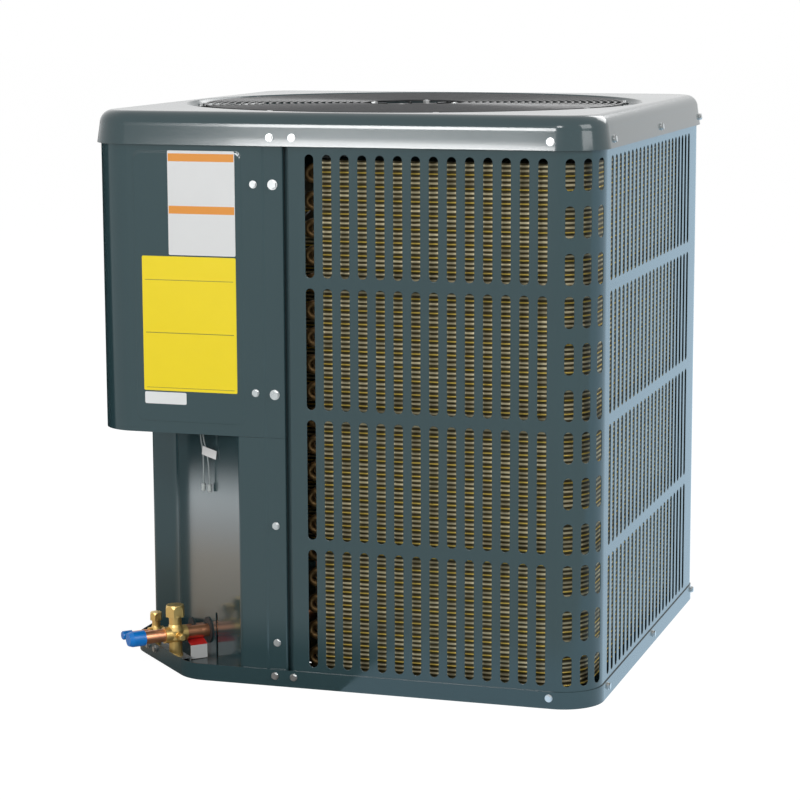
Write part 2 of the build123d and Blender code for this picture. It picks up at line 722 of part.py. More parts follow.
# ----------------------------------------------------------------- compressor
def make_compressor_shell():
    """A hermetic shell: drawn bottom, straight body with a weld bead, domed top, two stubs."""
    r = shell_radius
    low = shell_low
    high = shell_high
    outline = Polyline((0, low), (r - 20, low), (r, low + 18), (r, high - shell_crown - 26))
    outline += Polyline((r, high - shell_crown - 26), (r + 2.5, high - shell_crown - 24),
                        (r + 2.5, high - shell_crown - 18), (r, high - shell_crown - 16))
    outline += Line((r, high - shell_crown - 16), (r, high - shell_crown))
    outline += ThreePointArc((r, high - shell_crown), (r * 0.66, high - shell_crown * 0.22), (0, high))
    outline += Line((0, high), (0, low))
    body = revolve(Plane.XZ * make_face(outline), Axis.Z)
    plate_low = pan_floor_top + pad_height + grommet_height
    plate = Pos(0, 0, plate_low) * extrude(RectangleRounded(comp_plate_side, comp_plate_side, 24), comp_plate_thick)
    for x in (-comp_stud_pitch / 2, comp_stud_pitch / 2):
        for y in (-comp_stud_pitch / 2, comp_stud_pitch / 2):
            plate -= Pos(x, y, plate_low) * Cylinder(comp_stud_radius + 1, 20)
    port = front_left * Pos(shell_radius - 6, suction_side, suction_port_level) * Rot(0, 90, 0) * Cylinder(
        suction_pipe_radius + 3, 16, align=on_base)
    outlet = Pos(*discharge_start(), 0) * Pos(0, 0, high - 26) * Cylinder(
        discharge_pipe_radius + 2.5, 34, align=on_base)
    return body + plate + port + outlet


def discharge_start():
    return 24.0, -34.0


def make_compressor_grommets():
    """Rubber feet between the compressor plate and the pan's platform."""
    ring = tube_wall(grommet_radius, comp_stud_radius + seat_gap, grommet_height)
    waist = Pos(0, 0, grommet_height / 2) * tube_wall(grommet_radius + 1, grommet_radius - 2.5, 3)
    places = [(x, y) for x in (-1, 1) for y in (-1, 1)]
    level = pan_floor_top + pad_height
    pitch = comp_stud_pitch / 2
    return Compound(children=[Pos(x * pitch, y * pitch, level) * (ring - waist) for x, y in places])


def make_compressor_studs():
    """Studs up through the grommets, each with a flanged nut on the plate."""
    level = pan_floor_top + pad_height
    top = level + grommet_height + comp_plate_thick
    rod = Pos(0, 0, level) * Cylinder(comp_stud_radius, top - level + 14, align=on_base)
    nut = Pos(0, 0, top) * (hexagon(comp_nut_across, 7) + Cylinder(comp_nut_across * 0.72, 1.5, align=on_base))
    pitch = comp_stud_pitch / 2
    places = [(x, y) for x in (-1, 1) for y in (-1, 1)]
    return Compound(children=[Pos(x * pitch, y * pitch, 0) * (rod + nut) for x, y in places])


def make_terminal_cover():
    """The moulded box over the compressor's electrical terminals."""
    box = Pos(shell_radius - 4, 0, terminal_level) * Box(
        terminal_depth, terminal_width, terminal_height, align=(Align.MIN, Align.CENTER, Align.CENTER))
    box = fillet(box.faces().sort_by(Axis.X)[-1].edges(), 5)
    box -= Pos(0, 0, terminal_level) * Cylinder(shell_radius + seat_gap, 2 * terminal_height)
    return Rot(0, 0, 180) * box


# -------------------------------------------------------------------- piping
def make_discharge_line():
    """From the shell's outlet up and across to the coil's inlet header, brazed to it."""
    x, y = discharge_start()
    header_x, header_y = header_place()
    points = [(x, y, shell_high + 8), (x, y, discharge_level), (header_x, header_y, discharge_level)]
    return pipe(points, [pipe_bend], discharge_pipe_radius) + make_header()


def header_place():
    """The inlet header stands beside the hairpins, inside the coil's end plate."""
    return coil_end - 46.0, -coil_mid + 8.0


def make_header():
    """A closed upright pipe beside the hairpins."""
    x, y = header_place()
    header = Pos(x, y, header_low) * Cylinder(header_radius, header_high - header_low, align=on_base)
    return fillet(header.edges().filter_by(GeomType.CIRCLE), 4)


def make_suction_line():
    """From the shell's suction port down and out through the recess wall to its valve."""
    start = shell_radius + 10
    drop = 168.0
    reach = valve_reach - 13.0
    points = [corner_point(start, suction_side, suction_port_level),
              corner_point(drop, suction_side, suction_port_level),
              corner_point(drop, suction_side, suction_level),
              corner_point(reach, suction_side, suction_level)]
    return pipe(points, [pipe_bend, pipe_bend], suction_pipe_radius)


def drier_span():
    """Sideways start of the filter drier in the corner frame."""
    return liquid_side - 32.0


def make_liquid_line():
    """From the valve in through the recess wall and along to the filter drier."""
    turn = 292.0
    points = [corner_point(valve_reach - 10, liquid_side, liquid_level),
              corner_point(turn, liquid_side, liquid_level),
              corner_point(turn, drier_span(), liquid_level)]
    return pipe(points, [20.0], liquid_pipe_radius)


def make_filter_drier():
    """A spun copper-ended drier in the liquid line, and its pipe to the coil."""
    r = drier_radius
    outline = Polyline((0, 0), (liquid_pipe_radius + 1.5, 0), (liquid_pipe_radius + 1.5, 8), (r, 20))
    outline += Line((r, 20), (r, drier_length - 20))
    outline += Polyline((r, drier_length - 20), (liquid_pipe_radius + 1.5, drier_length - 8),
                        (liquid_pipe_radius + 1.5, drier_length), (0, drier_length), (0, 0))
    body = revolve(Plane.XZ * make_face(outline), Axis.Z)
    start = corner_point(292.0, drier_span(), liquid_level)
    heading = corner_point(292.0, drier_span() - 1, liquid_level) - start
    return Plane(origin=start, z_dir=heading) * body


# -------------------------------------------------------------------- valves
# Each valve is drawn about its own upright axis: +X points out of the corner,
# level 0 is the axis of the stub.
class ValveSize:
    """The sizes of one service valve."""

    def __init__(self, level, side, stub, scale, cap_height, neck, reach):
        self.level = level
        self.side = side
        self.stub = stub
        self.scale = scale
        self.cap_height = cap_height
        self.neck = neck
        self.reach = reach


suction_valve = ValveSize(suction_level, suction_side, suction_pipe_radius, 13.6, 17.0, 9.2, stub_reach)
liquid_valve = ValveSize(liquid_level, liquid_side, liquid_pipe_radius, 8.8, 12.0, 6.2, liquid_stub_reach)
bracket_level = 12.0
bracket_thick = 2.0
valve_foot_gap = 0.0
cap_seal_thick = 1.0
port_radius = 3.6
port_length = 11.0
port_turn = 90.0                # the service port points to the right of the stub
port_gasket_thick = 1.0
port_cap_across = 9.0
port_cap_length = 9.0
tag_thick = 1.0
tag_fold = 30.0                 # height of the fold of the pipe tag


def valve_place(valve):
    return front_left * Pos(valve_reach, valve.side, valve.level)


def neck_top(valve):
    """Height of the sealing shoulder of the neck over the stub's axis."""
    return valve.scale * 1.9


def make_valve_body(valve):
    """Forged body: foot, waist, barrel, stepped neck, and bosses for pipes and port."""
    s = valve.scale
    foot = bracket_level + bracket_thick - valve.level
    waist = s * 0.72
    outline = Polyline(
        (0, foot), (s * 0.8, foot), (s * 0.8, foot + 3), (waist, foot + 4), (waist, -s * 0.75),
        (s, -s * 0.45), (s, s * 0.5), (waist * 1.05, s * 0.85), (valve.neck, s * 1.1),
        (valve.neck, neck_top(valve)), (valve.neck * 0.72, neck_top(valve)),
        (valve.neck * 0.72, neck_top(valve) + s * 0.45), (0, neck_top(valve) + s * 0.45), (0, foot))
    body = revolve(Plane.XZ * make_face(outline), Axis.Z)
    body += Rot(0, 90, 0) * Cylinder(valve.stub + 2.4, s * 1.35, align=on_base)
    body += Rot(0, -90, 0) * Cylinder(valve.stub + 2.4, s * 1.2, align=on_base)
    body += Rot(0, 0, port_turn) * Rot(0, 90, 0) * Cylinder(port_radius + 1.8, s * 1.2, align=on_base)
    body += Rot(0, 0, port_turn) * Rot(0, 90, 0) * Cylinder(port_radius, s + port_length, align=on_base)
    sockets = Pos(s * 0.9, 0, 0) * Rot(0, 90, 0) * Cylinder(valve.stub, s, align=on_base)
    sockets += Pos(-s * 0.9, 0, 0) * Rot(0, -90, 0) * Cylinder(valve.stub, s, align=on_base)
    stem_hole = Pos(0, 0, neck_top(valve)) * extrude(
        RegularPolygon(valve.neck * 0.36, 6), s * 0.5)
    return body - sockets - stem_hole


def make_cap_seal(valve):
    """The copper washer that the stem cap closes on."""
    return Pos(0, 0, neck_top(valve)) * tube_wall(valve.neck * 1.0, valve.neck * 0.72 + seat_gap, cap_seal_thick)


def make_stem_cap(valve):
    """Hexagonal closed cap over the stem, with a chamfered crown and a hollow."""
    s = valve.scale
    low = neck_top(valve) + cap_seal_thick
    cap = hexagon(2 * s * 0.93, valve.cap_height)
    crown = Pos(0, 0, -0.5) * Cone(s * 1.45, s * 0.9, valve.cap_height + 1, align=on_base)
    cap = (cap & crown) + tube_wall(s * 0.98, valve.neck * 0.8, 2.4)
    hollow = Cylinder(valve.neck * 0.72 + seat_gap, s * 0.45 + 1.5, align=on_base)
    return Pos(0, 0, low) * (cap - hollow)


def make_port_cap(valve):
    """The small hexagonal cap of the service port, closed on the port's end."""
    s = valve.scale
    cap = hexagon(port_cap_across, port_cap_length)
    cap = chamfer(cap.faces().sort_by(Axis.Z)[-1].edges(), 0.8)
    hollow = Cylinder(port_radius + seat_gap, port_cap_length - 2, align=on_base)
    start = s + port_length + port_gasket_thick - (port_cap_length - 2)
    return Rot(0, 0, port_turn) * Rot(0, 90, 0) * Pos(0, 0, start) * (cap - hollow)


def make_port_gasket(valve):
    """The soft disc between the port's end and the end of its cap."""
    disc = Cylinder(port_radius, port_gasket_thick, align=on_base)
    return Rot(0, 0, port_turn) * Rot(0, 90, 0) * Pos(0, 0, valve.scale + port_length) * disc


def make_stub(valve):
    """Copper stub brazed into the valve's outer socket."""
    start = valve.scale * 0.9
    tube = Cylinder(valve.stub, valve.reach - start, align=on_base)
    tube -= Pos(0, 0, 8) * Cylinder(valve.stub - 1.1, valve.reach, align=on_base)
    return Pos(start, 0, 0) * Rot(0, 90, 0) * tube


def make_plug(valve, length, pulled_end):
    """A push-on shipping plug: a cup over the stub's end with a smaller nose."""
    outer = valve.stub + seat_gap + plug_wall
    cup = Cylinder(outer, length - pulled_end, align=on_base)
    nose = Pos(0, 0, length - pulled_end) * Cone(outer, outer * 0.82, pulled_end, align=on_base)
    hollow = Cylinder(valve.stub + seat_gap, plug_grip, align=on_base)
    return Pos(valve.reach - plug_grip + seat_gap, 0, 0) * Rot(0, 90, 0) * (cup + nose - hollow)


def make_valve_bracket():
    """A folded shelf that carries both valve feet and is screwed to the pan's cut rim."""
    inner = valve_reach - 16.0
    outer = pan_cut_reach - wall_sheet - seat_gap
    low_side = liquid_side - 13.0
    high_side = suction_side + 19.0
    width = high_side - low_side
    middle = (high_side + low_side) / 2
    shelf = Pos((inner + outer) / 2, middle, bracket_level) * Box(outer - inner, width, bracket_thick, align=on_base)
    leg = Pos(inner + bracket_thick / 2, middle, pan_floor_top) * Box(
        bracket_thick, width, bracket_level - pan_floor_top, align=on_base)
    lip = Pos(outer - bracket_thick / 2, middle, bracket_level) * Box(bracket_thick, width, 9, align=on_base)
    return front_left * (shelf + leg + lip) - shank_holes(bracket_screw_positions())


def make_pipe_grommets():
    """Rubber grommets round the two pipes in the recess wall."""
    wall = recess_wall_frame()
    group = []
    for side, level, radius in pipe_passes():
        hole = radius + hole_clearance
        ring = Cylinder(hole - seat_gap, wall_sheet + 2 * grommet_lip)
        for lift in (-1, 1):
            ring += Pos(0, 0, lift * (wall_sheet / 2 + seat_gap / 2 + grommet_lip / 2)) * Cylinder(
                hole + grommet_flange, grommet_lip - seat_gap)
        place = Location(wall) * Pos(pipe_crossing(side), level, 0)
        bore = front_left * Pos(valve_reach, side, level) * Rot(0, -90, 0) * Cylinder(
            radius + seat_gap, valve_reach, align=on_base)
        group.append(place * ring - bore)
    return Compound(children=group)


def make_pipe_tag():
    """A folded card against the suction pipe: an upright face and a sloping top."""
    start = valve_reach - 44.0
    length = 26.0
    front = suction_side + 14.0
    top = suction_level - suction_pipe_radius
    line = Polyline((front, pan_floor_top + tag_thick), (front, tag_fold), (suction_side, top - tag_thick))
    upright = Location(Plane(origin=(0, 0, 0), x_dir=(0, 1, 0), z_dir=(1, 0, 0)))
    return front_left * Pos(start, 0, 0) * upright * extrude(trace(line, tag_thick), length)


# -------------------------------------------------------------- control parts
def box_line():
    """Plan of the control box's inner walls, from the front to the left side."""
    near = cover_edge - wall_sheet - 2 * seat_gap - wall_sheet / 2
    wall = -mid + groove_depth + wall_sheet / 2 + seat_gap
    slope = -(box_diagonal + near)
    return [(near, wall), (near, slope), (slope, near), (wall, near)]


def box_plate(level):
    """A floor or roof of the control box, with the cabinet's rounded corner."""
    line = box_line()
    inset = corner_radius - groove_depth
    wall = line[0][1]
    outline = FilletPolyline(*line, (wall, wall), radius=[2, 4, 4, 2, inset], close=True)
    return Pos(0, 0, level) * extrude(make_face(outline), wall_sheet)


def make_control_box():
    """Open-fronted steel box: floor, roof and three inner walls."""
    low = cover_low + seat_gap
    walls = sheet_strip(box_line(), [4, 4], low, box_top)
    box = walls + box_plate(low) + box_plate(box_top - wall_sheet)
    bushing_hole = Pos(*lead_exit, low) * Cylinder(bushing_radius, 12)
    return box - bushing_hole


def box_wall(side, level):
    """A place on the box's sloping wall, corner frame turned: +X points out."""
    reach = box_diagonal / math.sqrt(2) + wall_sheet / 2
    return front_left * Pos(reach, side, level)


def make_contactor():
    """Contactor: base block, moulded body with a window, coil bobbin and terminals."""
    w, d, h = contactor_width, contactor_depth, contactor_height
    out = (Align.MIN, Align.CENTER, Align.MIN)
    base = Box(3, w + 14, h - 8, align=out)
    body = Pos(3, 0, 0) * Box(d - 3, w, h, align=out)
    body = fillet(body.edges().filter_by(Axis.X), 3)
    window = Pos(3 + 8, 0, h * 0.3) * Box(d, w - 18, h * 0.4, align=out)
    posts = [Pos(d * 0.55, side, level) * Box(20, 11, 6, align=(Align.MIN, Align.CENTER, Align.MIN))
             for side in (-w / 4, w / 4) for level in (h, -6)]
    return box_wall(-48, contactor_level) * (base + body - window + posts)


def make_armature():
    """The contactor's moving bridge, which is pulled in when the coil is live."""
    w, d, h = contactor_width, contactor_depth, contactor_height
    bridge = Pos(3 + 8 + armature_travel + seat_gap, 0, h * 0.3 + seat_gap) * Box(
        d - 14, w - 18 - 2 * seat_gap, h * 0.4 - 2 * seat_gap, align=(Align.MIN, Align.CENTER, Align.MIN))
    bridge = chamfer(bridge.faces().sort_by(Axis.X)[-1].edges(), 1.5)
    return box_wall(-48, contactor_level) * bridge


def make_capacitor():
    """Run capacitor: a crimped can with three terminals."""
    r, h = capacitor_radius, capacitor_height
    outline = Polyline((0, 0), (r - 1, 0), (r - 1, 2), (r - 2, 3), (r - 2, h - 6), (r, h - 5),
                       (r, h - 1), (r - 3, h), (r - 4, h - 2), (0, h - 2), (0, 0))
    can = revolve(Plane.XZ * make_face(outline), Axis.Z)
    tabs = [Rot(0, 0, 120 * i) * Pos(11, 0, h - 3) * Box(6, 0.8, 10, align=on_base) for i in range(3)]
    return box_wall(46, capacitor_level) * Pos(r + seat_gap, 0, 0) * (can + tabs)


def make_capacitor_strap():
    """A band round the capacitor, screwed to the box wall on both sides."""
    r = capacitor_radius - 2 + 2 * seat_gap
    t = 1.0
    x = capacitor_radius + seat_gap
    line = Polyline((t / 2, -r - 16), (t / 2, -r - t / 2), (x, -r - t / 2))
    line += ThreePointArc((x, -r - t / 2), (x + r + t / 2, 0), (x, r + t / 2))
    line += Polyline((x, r + t / 2), (t / 2, r + t / 2), (t / 2, r + 16))
    return box_wall(46, capacitor_level + 44) * extrude(trace(line, t), strap_width)


def make_ground_lug():
    """A set-screw lug on the box wall for the earth wire."""
    body = Box(10, 10, 16, align=(Align.MIN, Align.CENTER, Align.CENTER))
    body += Pos(0, 0, -14) * Box(3, 10, 14, align=(Align.MIN, Align.CENTER, Align.CENTER))
    body -= Pos(6, 0, 2) * Cylinder(3, 40)
    screw_top = Pos(10, 0, 2) * Rot(0, 90, 0) * Cylinder(3, 4, align=on_base)
    return box_wall(0, 470) * (body + screw_top)


# ---------------------------------------------------------------------- leads
# Two thin low-voltage leads hang from the control box. Routes are chosen points.
lead_routes = {
    "a": [(-240.6, -279.0, 351.6), (-239.4, -279.4, 337.0), (-236.0, -279.8, 319.0),
          (-235.2, -279.6, 295.0), (-235.9, -279.2, 269.0)],
    "b": [(-235.6, -281.0, 351.6), (-234.4, -282.4, 337.0), (-228.6, -284.4, 319.0),
          (-224.6, -285.2, 295.0), (-224.0, -285.4, 269.0)],
}


def arc_radii(points):
    """Arc at each inner point: 0.45 of its shorter run over the tangent of half its turn."""
    radii = []
    vectors = [Vector(*p) for p in points]
    for before, here, after in zip(vectors, vectors[1:], vectors[2:]):
        turn = math.radians((here - before).get_angle(after - here))
        run = min((here - before).length, (after - here).length)
        radii.append(0.45 * run / math.tan(turn / 2))
    return radii


def make_lead(name):
    points = lead_routes[name]
    radii = arc_radii(points)
    tube = pipe(points, radii, lead_diameter / 2)
    print("lead", name, "radii", [round(r, 1) for r in radii],
          "volume over section", round(tube.volume / (math.pi * lead_diameter ** 2 / 4), 1))
    return tube


def make_lead_caps():
    """Closed-end connectors crimped on the two leads."""
    group = []
    for points in lead_routes.values():
        end = Vector(*points[-1])
        heading = (end - Vector(*points[-2])).normalized()
        cap = Cylinder(lead_cap_radius, lead_cap_length, align=on_base)
        cap = fillet(cap.edges().sort_by(Axis.Z)[-1], 2)
        group.append(Plane(origin=end, z_dir=heading) * cap)
    return Compound(children=group)


def make_lead_tag():
    """A small folded flag in front of the leads, clear of both."""
    flag = extrude(trace(Polyline(*lead_tag_line), lead_tag_thick), lead_tag_height)
    middle = lead_tag_line[1]
    place = Pos(middle[0], middle[1], lead_tag_level) * Rot(0, lead_tag_slope, 0)
    return place * Pos(-middle[0], -middle[1], -lead_tag_height / 2) * flag


def make_bushing():
    """Snap bushing in the control box floor, round both leads."""
    low = cover_low + seat_gap
    outline = Polyline((bushing_radius - 2, -4), (bushing_radius + 2.5, -4), (bushing_radius + 2.5, -seat_gap))
    outline += Polyline(
        (bushing_radius + 2.5, -seat_gap), (bushing_radius - seat_gap, -seat_gap),
        (bushing_radius - seat_gap, wall_sheet + 4), (bushing_radius - 2, wall_sheet + 4), (bushing_radius - 2, -4))
    ring = revolve(Plane.XZ * make_face(outline), Axis.Z)
    lead_start = lead_routes["a"][0][2] + seat_gap
    core = Pos(0, 0, lead_start - low) * Cylinder(bushing_radius - 2, 12, align=on_base)
    return Pos(*lead_exit, low) * (ring + core)


# ------------------------------------------------------------ fastener groups
def fastener_group(places, across, washer):
    blank = screw(across, washer)
    return Compound(children=[place * blank for place in places])


def make_guard_screws():
    blank = screw(screw_across, screw_washer)
    level = seat_top + eyelet_thick
    return Compound(children=[turn * Pos(guard_screw_radius, 0, level) * blank for turn in guard_turns()])


def make_cap_screws():
    """Screws through the flared skirt; each washer sits where the skirt is proud."""
    slope = cap_flare * (cap_crease - cap_screw_level) / (cap_crease - cap_lip)
    out = seat_gap + wall_sheet + slope
    tilt = Rot(0, -math.degrees(math.atan(cap_flare / (cap_crease - cap_lip))), 0)
    blank = tilt * screw(screw_across, screw_washer)
    return Compound(children=[place * blank for place in all_round(cap_screw_places, out)])


def make_base_screws():
    return fastener_group(all_round(base_screw_places, seat_gap + wall_sheet), screw_across, screw_washer)


def make_bracket_screws():
    return fastener_group(bracket_screw_positions(), screw_across, screw_washer)


# --------------------------------------------------------------------- export
def build_nodes():
    front_panel, back_panel = make_louvre_panels()
    nodes = {
        "base_pan": make_base_pan(),
        "louvre_panel_front_right": front_panel,
        "louvre_panel_back_left": back_panel,
        "control_cover": make_control_cover(),
        "service_corner_panel": make_service_panel(),
        "top_cap": make_top_cap(),
        "fan_guard": make_fan_guard(),
        "guard_screws": make_guard_screws(),
        "fan_motor": make_fan_motor(),
        "motor_studs": make_motor_studs(),
        "motor_shaft": make_motor_shaft(),
        "fan_blades": make_fan_blades(),
        "coil_fins": make_coil_fins(),
        "coil_return_bends": make_return_bends(),
        "coil_feet": make_coil_feet(),
        "compressor_shell": make_compressor_shell(),
        "compressor_grommets": make_compressor_grommets(),
        "compressor_studs": make_compressor_studs(),
        "terminal_cover": make_terminal_cover(),
        "discharge_line": make_discharge_line(),
        "suction_line": make_suction_line(),
        "liquid_line": make_liquid_line(),
        "filter_drier": make_filter_drier(),
        "pipe_grommets": make_pipe_grommets(),
        "valve_bracket": make_valve_bracket(),
        "bracket_screws": make_bracket_screws(),
        "pipe_tag": make_pipe_tag(),
        "control_box": make_control_box(),
        "contactor_body": make_contactor(),
        "contactor_armature": make_armature(),
        "run_capacitor": make_capacitor(),
        "capacitor_strap": make_capacitor_strap(),
        "ground_lug": make_ground_lug(),
        "lead_bushing": make_bushing(),
        "lead_a": make_lead("a"),
        "lead_b": make_lead("b"),
        "lead_caps": make_lead_caps(),
        "lead_tag": make_lead_tag(),
        "cap_screws": make_cap_screws(),
        "base_screws": make_base_screws(),
        "cover_screws": fastener_group(cover_screw_positions(), large_screw_across, large_screw_washer),
        "land_screws": fastener_group(land_screw_positions(), screw_across, screw_washer),
        "post_screws": fastener_group(post_screw_positions(), screw_across, screw_washer),
    }
    end_plate = make_tube_sheet()
    nodes["tube_sheet_front"] = end_plate
    nodes["tube_sheet_left"] = mirror(end_plate, about=diagonal_mirror)
    for name, valve in (("suction", suction_valve), ("liquid", liquid_valve)):
        place = valve_place(valve)
        nodes[name + "_valve_body"] = place * make_valve_body(valve)
        nodes[name + "_cap_seal"] = place * make_cap_seal(valve)
        nodes[name + "_stem_cap"] = place * make_stem_cap(valve)
        nodes[name + "_port_cap"] = place * make_port_cap(valve)
        nodes[name + "_port_gasket"] = place * make_port_gasket(valve)
        nodes[name + "_stub"] = place * make_stub(valve)
    nodes["suction_plug"] = valve_place(suction_valve) * make_plug(suction_valve, plug_length, 6.0)
    nodes["liquid_plug"] = valve_place(liquid_valve) * make_plug(liquid_valve, liquid_plug_length, 1.5)
    return nodes


os.makedirs("parts", exist_ok=True)
for node_name, shape in build_nodes().items():
    export_step(shape, os.path.join("parts", node_name + ".step"))
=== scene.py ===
import math

import bpy
import numpy as np
from mathutils import Matrix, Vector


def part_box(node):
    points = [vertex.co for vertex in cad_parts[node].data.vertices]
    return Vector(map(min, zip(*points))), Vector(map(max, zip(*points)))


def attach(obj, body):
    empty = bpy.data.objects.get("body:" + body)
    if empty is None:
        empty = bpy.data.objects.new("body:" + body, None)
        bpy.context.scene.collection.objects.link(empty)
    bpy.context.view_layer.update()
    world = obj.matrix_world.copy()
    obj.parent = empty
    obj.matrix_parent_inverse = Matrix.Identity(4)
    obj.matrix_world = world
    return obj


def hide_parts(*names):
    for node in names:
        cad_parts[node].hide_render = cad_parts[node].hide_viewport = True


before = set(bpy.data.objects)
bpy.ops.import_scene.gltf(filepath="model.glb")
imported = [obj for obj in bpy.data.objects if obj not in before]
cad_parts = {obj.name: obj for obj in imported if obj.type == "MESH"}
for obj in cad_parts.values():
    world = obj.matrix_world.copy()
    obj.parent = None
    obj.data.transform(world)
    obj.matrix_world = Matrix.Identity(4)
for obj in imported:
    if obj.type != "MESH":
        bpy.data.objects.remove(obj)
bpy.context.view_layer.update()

# Looks of a louvred condensing unit. Sizes are millimetres until a mesh is made.
MM = 0.001


def box_mm(node):
    """Lowest and highest corner of a CAD node, in millimetres."""
    low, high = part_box(node)
    return np.array(low) / MM, np.array(high) / MM


# ---- the cabinet
panel_low, panel_high = box_mm("louvre_panel_front_right")
cap_low, cap_high = box_mm("top_cap")
cover_low, cover_high = box_mm("control_cover")
coil_low, coil_high = box_mm("coil_fins")
guard_low = box_mm("fan_guard")[0]

sheet = 1.2                             # thickness of the painted sheets
half = panel_high[0]                    # centre to the walls' outer faces
mid = half - sheet / 2                  # centre to the middle of the sheets
corner_radius = 58.0
fold_radius = 2.5
louvre_edge = -69.9                     # free edge of a louvre panel
groove_depth = 12.0
groove_lap = 40.0
seam_start = 300.0
seam_lap = 22.0
seam_joggle = 3.0                       # run over which the lapped edge steps in
seam_fold_radius = 1.5
seam_play = 4.0                         # how far the other panel stops short of the seam
seat_gap = 0.3

slot_width = 12.7
slot_length = 169.7
slot_pitch = 25.4
slot_row_pitch = 184.4
slot_rows = 4
slot_low_end = 31.5
front_slot_first = -38.1
front_slot_columns = 14
side_slot_first = -279.7
side_slot_columns = 22
short_slot_length = 43.2
short_slots_per_row = 3
corner_slot_columns = 3
slot_edge_round = 0.6                   # rounding of the punched edges

cover_edge = -77.2
land_width = 29.2
land_step = 1.5
cover_land_margin = 45.0                # stretch at the cover's edge without extra lines
field_left, field_right = -300.0, -136.7
field_low, field_top = 373.0, 757.0
field_radius = 12.0
field_raise = 0.8
field_blend = 2.4                       # width of the slope up to the raised field


# ---- mesh making
def new_object(name, data):
    obj = bpy.data.objects.new(name, data)
    bpy.context.scene.collection.objects.link(obj)
    return obj


def piece(name, points, faces, normals=None, body="cabinet"):
    """A mesh from arrays of points in millimetres and four-cornered faces."""
    mesh = bpy.data.meshes.new(name)
    points = np.asarray(points, float).reshape(-1, 3) * MM
    faces = np.asarray(faces, int)
    mesh.vertices.add(len(points))
    mesh.vertices.foreach_set("co", points.ravel())
    mesh.loops.add(faces.size)
    mesh.loops.foreach_set("vertex_index", faces.ravel())
    mesh.polygons.add(len(faces))
    mesh.polygons.foreach_set("loop_start", np.arange(len(faces)) * faces.shape[1])
    mesh.update(calc_edges=True)
    mesh.validate()
    mesh.polygons.foreach_set("use_smooth", np.ones(len(mesh.polygons), bool))
    if normals is not None:
        mesh.normals_split_custom_set_from_vertices(np.asarray(normals, float).reshape(-1, 3))
    obj = new_object(name, mesh)
    if body:
        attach(obj, body)
    return obj


def grid_faces(rows, columns, close_rows=False, close_columns=False):
    """Quads of a grid of points; a closed direction joins its last line to its first."""
    r = np.arange(rows if close_rows else rows - 1)
    c = np.arange(columns if close_columns else columns - 1)
    a, b = np.meshgrid(r, c, indexing="ij")
    a2, b2 = (a + 1) % rows, (b + 1) % columns
    corners = [a * columns + b, a * columns + b2, a2 * columns + b2, a2 * columns + b]
    return np.stack(corners, -1).reshape(-1, 4)


def grid_normals(points, close_rows=False, close_columns=False):
    """Unit normals of a grid: the cross product of its two central differences."""
    def slope(axis, closed):
        if closed:
            return np.roll(points, -1, axis) - np.roll(points, 1, axis)
        return np.gradient(points, axis=axis)
    across = slope(1, close_columns)
    along = slope(0, close_rows)
    normal = np.cross(across, along)
    return normal / np.maximum(np.linalg.norm(normal, axis=-1, keepdims=True), 1e-12)


class Shell:
    """Collects grids into one mesh."""

    def __init__(self):
        self.points, self.faces, self.normals, self.count = [], [], [], 0

    def add(self, points, faces, normals):
        points = np.asarray(points, float).reshape(-1, 3)
        self.points.append(points)
        self.normals.append(np.asarray(normals, float).reshape(-1, 3))
        self.faces.append(np.asarray(faces, int) + self.count)
        self.count += len(points)

    def add_grid(self, grid, close_rows=False, close_columns=False, normals=None):
        rows, columns = grid.shape[:2]
        if normals is None:
            normals = grid_normals(grid, close_rows, close_columns)
        self.add(grid, grid_faces(rows, columns, close_rows, close_columns), normals)

    def arrays(self):
        return np.concatenate(self.points), np.concatenate(self.faces), np.concatenate(self.normals)

    def make(self, name, body="cabinet", mirrored=False):
        """mirrored swaps X and Y, which turns the front right shape into the back left one."""
        points, faces, normals = self.arrays()
        if mirrored:
            points, normals, faces = points[:, [1, 0, 2]], normals[:, [1, 0, 2]], faces[:, ::-1]
        return piece(name, points, faces, normals, body)


